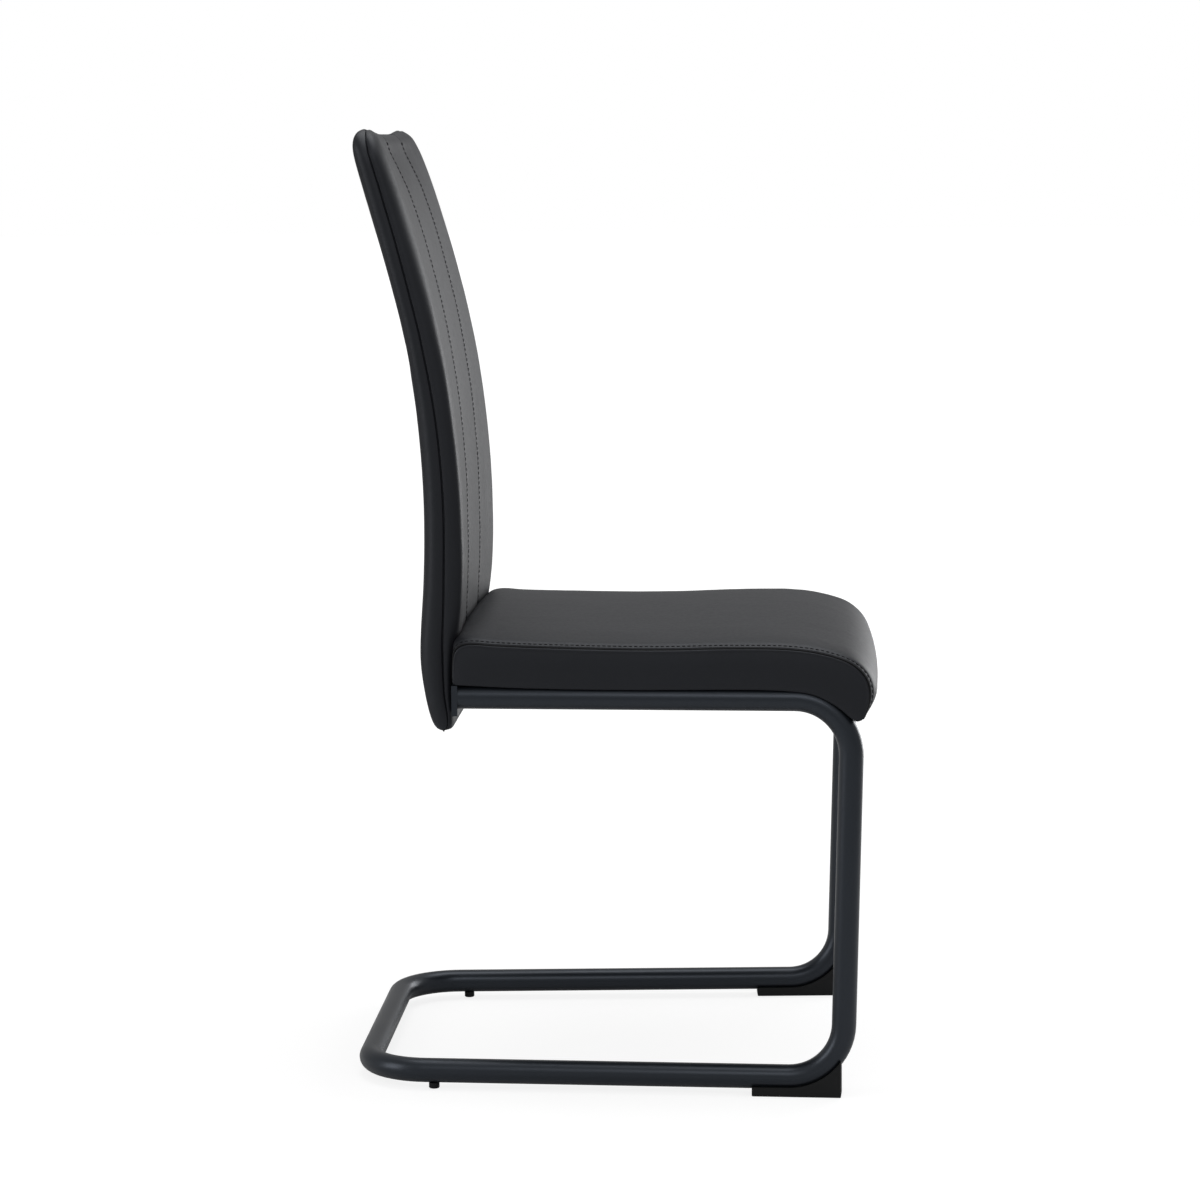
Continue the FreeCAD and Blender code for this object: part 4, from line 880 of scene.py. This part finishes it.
NODE_FINISHES = {
    "tube_frame": POWDER_COAT,
    "rear_angle": POWDER_COAT,
    "front_crossbar": POWDER_COAT,
    "front_foot_left": MOULDED_NYLON,
    "front_foot_right": MOULDED_NYLON,
    "rear_glide_left": MOULDED_NYLON,
    "rear_glide_right": MOULDED_NYLON,
    "front_foot_screws": ZINC_PLATE,
    "seat_bolts": ZINC_PLATE,
    "seat_washers": ZINC_PLATE,
    "seat_tee_nuts": ZINC_PLATE,
    "back_bolts": ZINC_PLATE,
    "back_washers": ZINC_PLATE,
    "back_tee_nuts": ZINC_PLATE,
    "seat_board": PLYWOOD,
    "back_shell": PLYWOOD,
    "seat_dust_cover": DUST_CLOTH,
}


def finish_node(name, material):
    """Gives a built piece its material, smooth over its curves and sharp at its edges."""
    item = nodes[name]
    item.data.materials.clear()
    item.data.materials.append(material)
    item.data.shade_smooth()
    weld = item.modifiers.new("weld", "WELD")
    weld.merge_threshold = 0.01 * MM
    split = item.modifiers.new("sharp_edges", "EDGE_SPLIT")
    split.split_angle = math.radians(28)


for name, material in NODE_FINISHES.items():
    finish_node(name, material)


# Studio: a pale floor, white surroundings and four softboxes. Lengths here are metres.

FLOOR_RADIUS = 40.0
FLOOR_DROP = 0.0004
FLOOR_GLOW_SHARE = 0.62


def make_studio():
    """The floor, just below the feet, and a white world that lights the chair at less than full."""
    bm = bmesh.new()
    bmesh.ops.create_circle(bm, cap_ends=True, segments=64, radius=FLOOR_RADIUS)
    bmesh.ops.translate(bm, verts=bm.verts, vec=(0, 0, -FLOOR_DROP))
    made, tree = new_material("white_studio_floor")
    path = add(tree, "LightPath")
    shaded = add(tree, "BsdfDiffuse", {"Color": linear("#cfcfcf")})
    # The glow is weaker near the chair, where its shadow shows, and full towards the horizon.
    place = add(tree, "TexCoord").outputs["Object"]
    away = add(tree, "VectorMath", {0: place}, operation="LENGTH").outputs["Value"]
    spread = {"Value": away, "From Min": 0.5, "From Max": 3.5, "To Min": 1.32, "To Max": 1.68}
    strength = add(tree, "MapRange", spread).outputs["Result"]
    glow = add(tree, "Emission", {"Color": linear("#ffffff"), "Strength": strength})
    seen = {0: path.outputs["Is Camera Ray"], 1: FLOOR_GLOW_SHARE}
    part = add(tree, "Math", seen, operation="MULTIPLY")
    mixed = add(
        tree,
        "MixShader",
        {0: part.outputs["Value"], 1: shaded.outputs["BSDF"], 2: glow.outputs["Emission"]},
    )
    add(tree, "OutputMaterial", {"Surface": mixed.outputs["Shader"]})
    floor = new_piece("studio_floor", bm, made)
    world = bpy.data.worlds.new("studio")
    bpy.context.scene.world = world
    world.use_nodes = True
    tree = world.node_tree
    tree.nodes.clear()
    path = add(tree, "LightPath").outputs
    strength = add(tree, "MapRange", {"Value": path["Is Camera Ray"], "To Min": 0.4, "To Max": 1.0})
    white = add(
        tree, "Background", {"Color": linear("#ffffff"), "Strength": strength.outputs["Result"]}
    )
    add(tree, "OutputWorld", {"Surface": white.outputs["Background"]})


def make_light(name, place, target, width, height, power):
    """A softbox of this width and height at a place, turned to its target."""
    data = bpy.data.lights.new(name, "AREA")
    data.shape = "RECTANGLE"
    data.size, data.size_y = width, height
    data.energy = power
    made = bpy.data.objects.new(name, data)
    bpy.context.scene.collection.objects.link(made)
    made.location = place
    aim = Vector(target) - Vector(place)
    made.rotation_euler = aim.to_track_quat("-Z", "Y").to_euler()


# The camera that was fitted to the photograph: focal length in its pixels, place and angles.
PHOTO_PIXELS = 1200.0
FOCAL_PIXELS = 3663.0
CAMERA_PLACE = (-3.8915, -0.1898, 0.9615)
YAW, PITCH, ROLL = math.radians(3.1334), math.radians(7.0055), math.radians(-0.5202)


def make_camera():
    """The photograph's view: from the sitter's right, almost level with the top of the back."""
    data = bpy.data.cameras.new("photo_view")
    data.sensor_width = 36.0
    data.lens = data.sensor_width * FOCAL_PIXELS / PHOTO_PIXELS
    made = bpy.data.objects.new("photo_view", data)
    bpy.context.scene.collection.objects.link(made)
    level = math.cos(PITCH)
    ahead = Vector((level * math.cos(YAW), level * math.sin(YAW), -math.sin(PITCH)))
    right = Vector((math.sin(YAW), -math.cos(YAW), 0.0))
    up = right.cross(ahead)
    across = right * math.cos(ROLL) + up * math.sin(ROLL)
    upward = up * math.cos(ROLL) - right * math.sin(ROLL)
    turn = Matrix((across, upward, -ahead)).transposed()
    made.matrix_world = Matrix.Translation(CAMERA_PLACE) @ turn.to_4x4()
    bpy.context.scene.camera = made


make_studio()
make_light("overhead_softbox", (0.2, -0.3, 2.7), (0.0, 0.0, 0.5), 2.4, 2.2, 42.0)
make_light("front_softbox", (2.5, -2.1, 0.8), (0.0, 0.0, 0.6), 1.6, 2.0, 42.0)
make_light("key_softbox", (-3.2, -0.3, 2.5), (0.0, 0.0, 0.5), 2.2, 1.2, 20.0)
make_light("rear_softbox", (-1.4, 2.8, 1.2), (0.0, 0.1, 0.6), 1.2, 2.0, 24.0)
make_camera()

bpy.context.scene.view_settings.view_transform = "Standard"
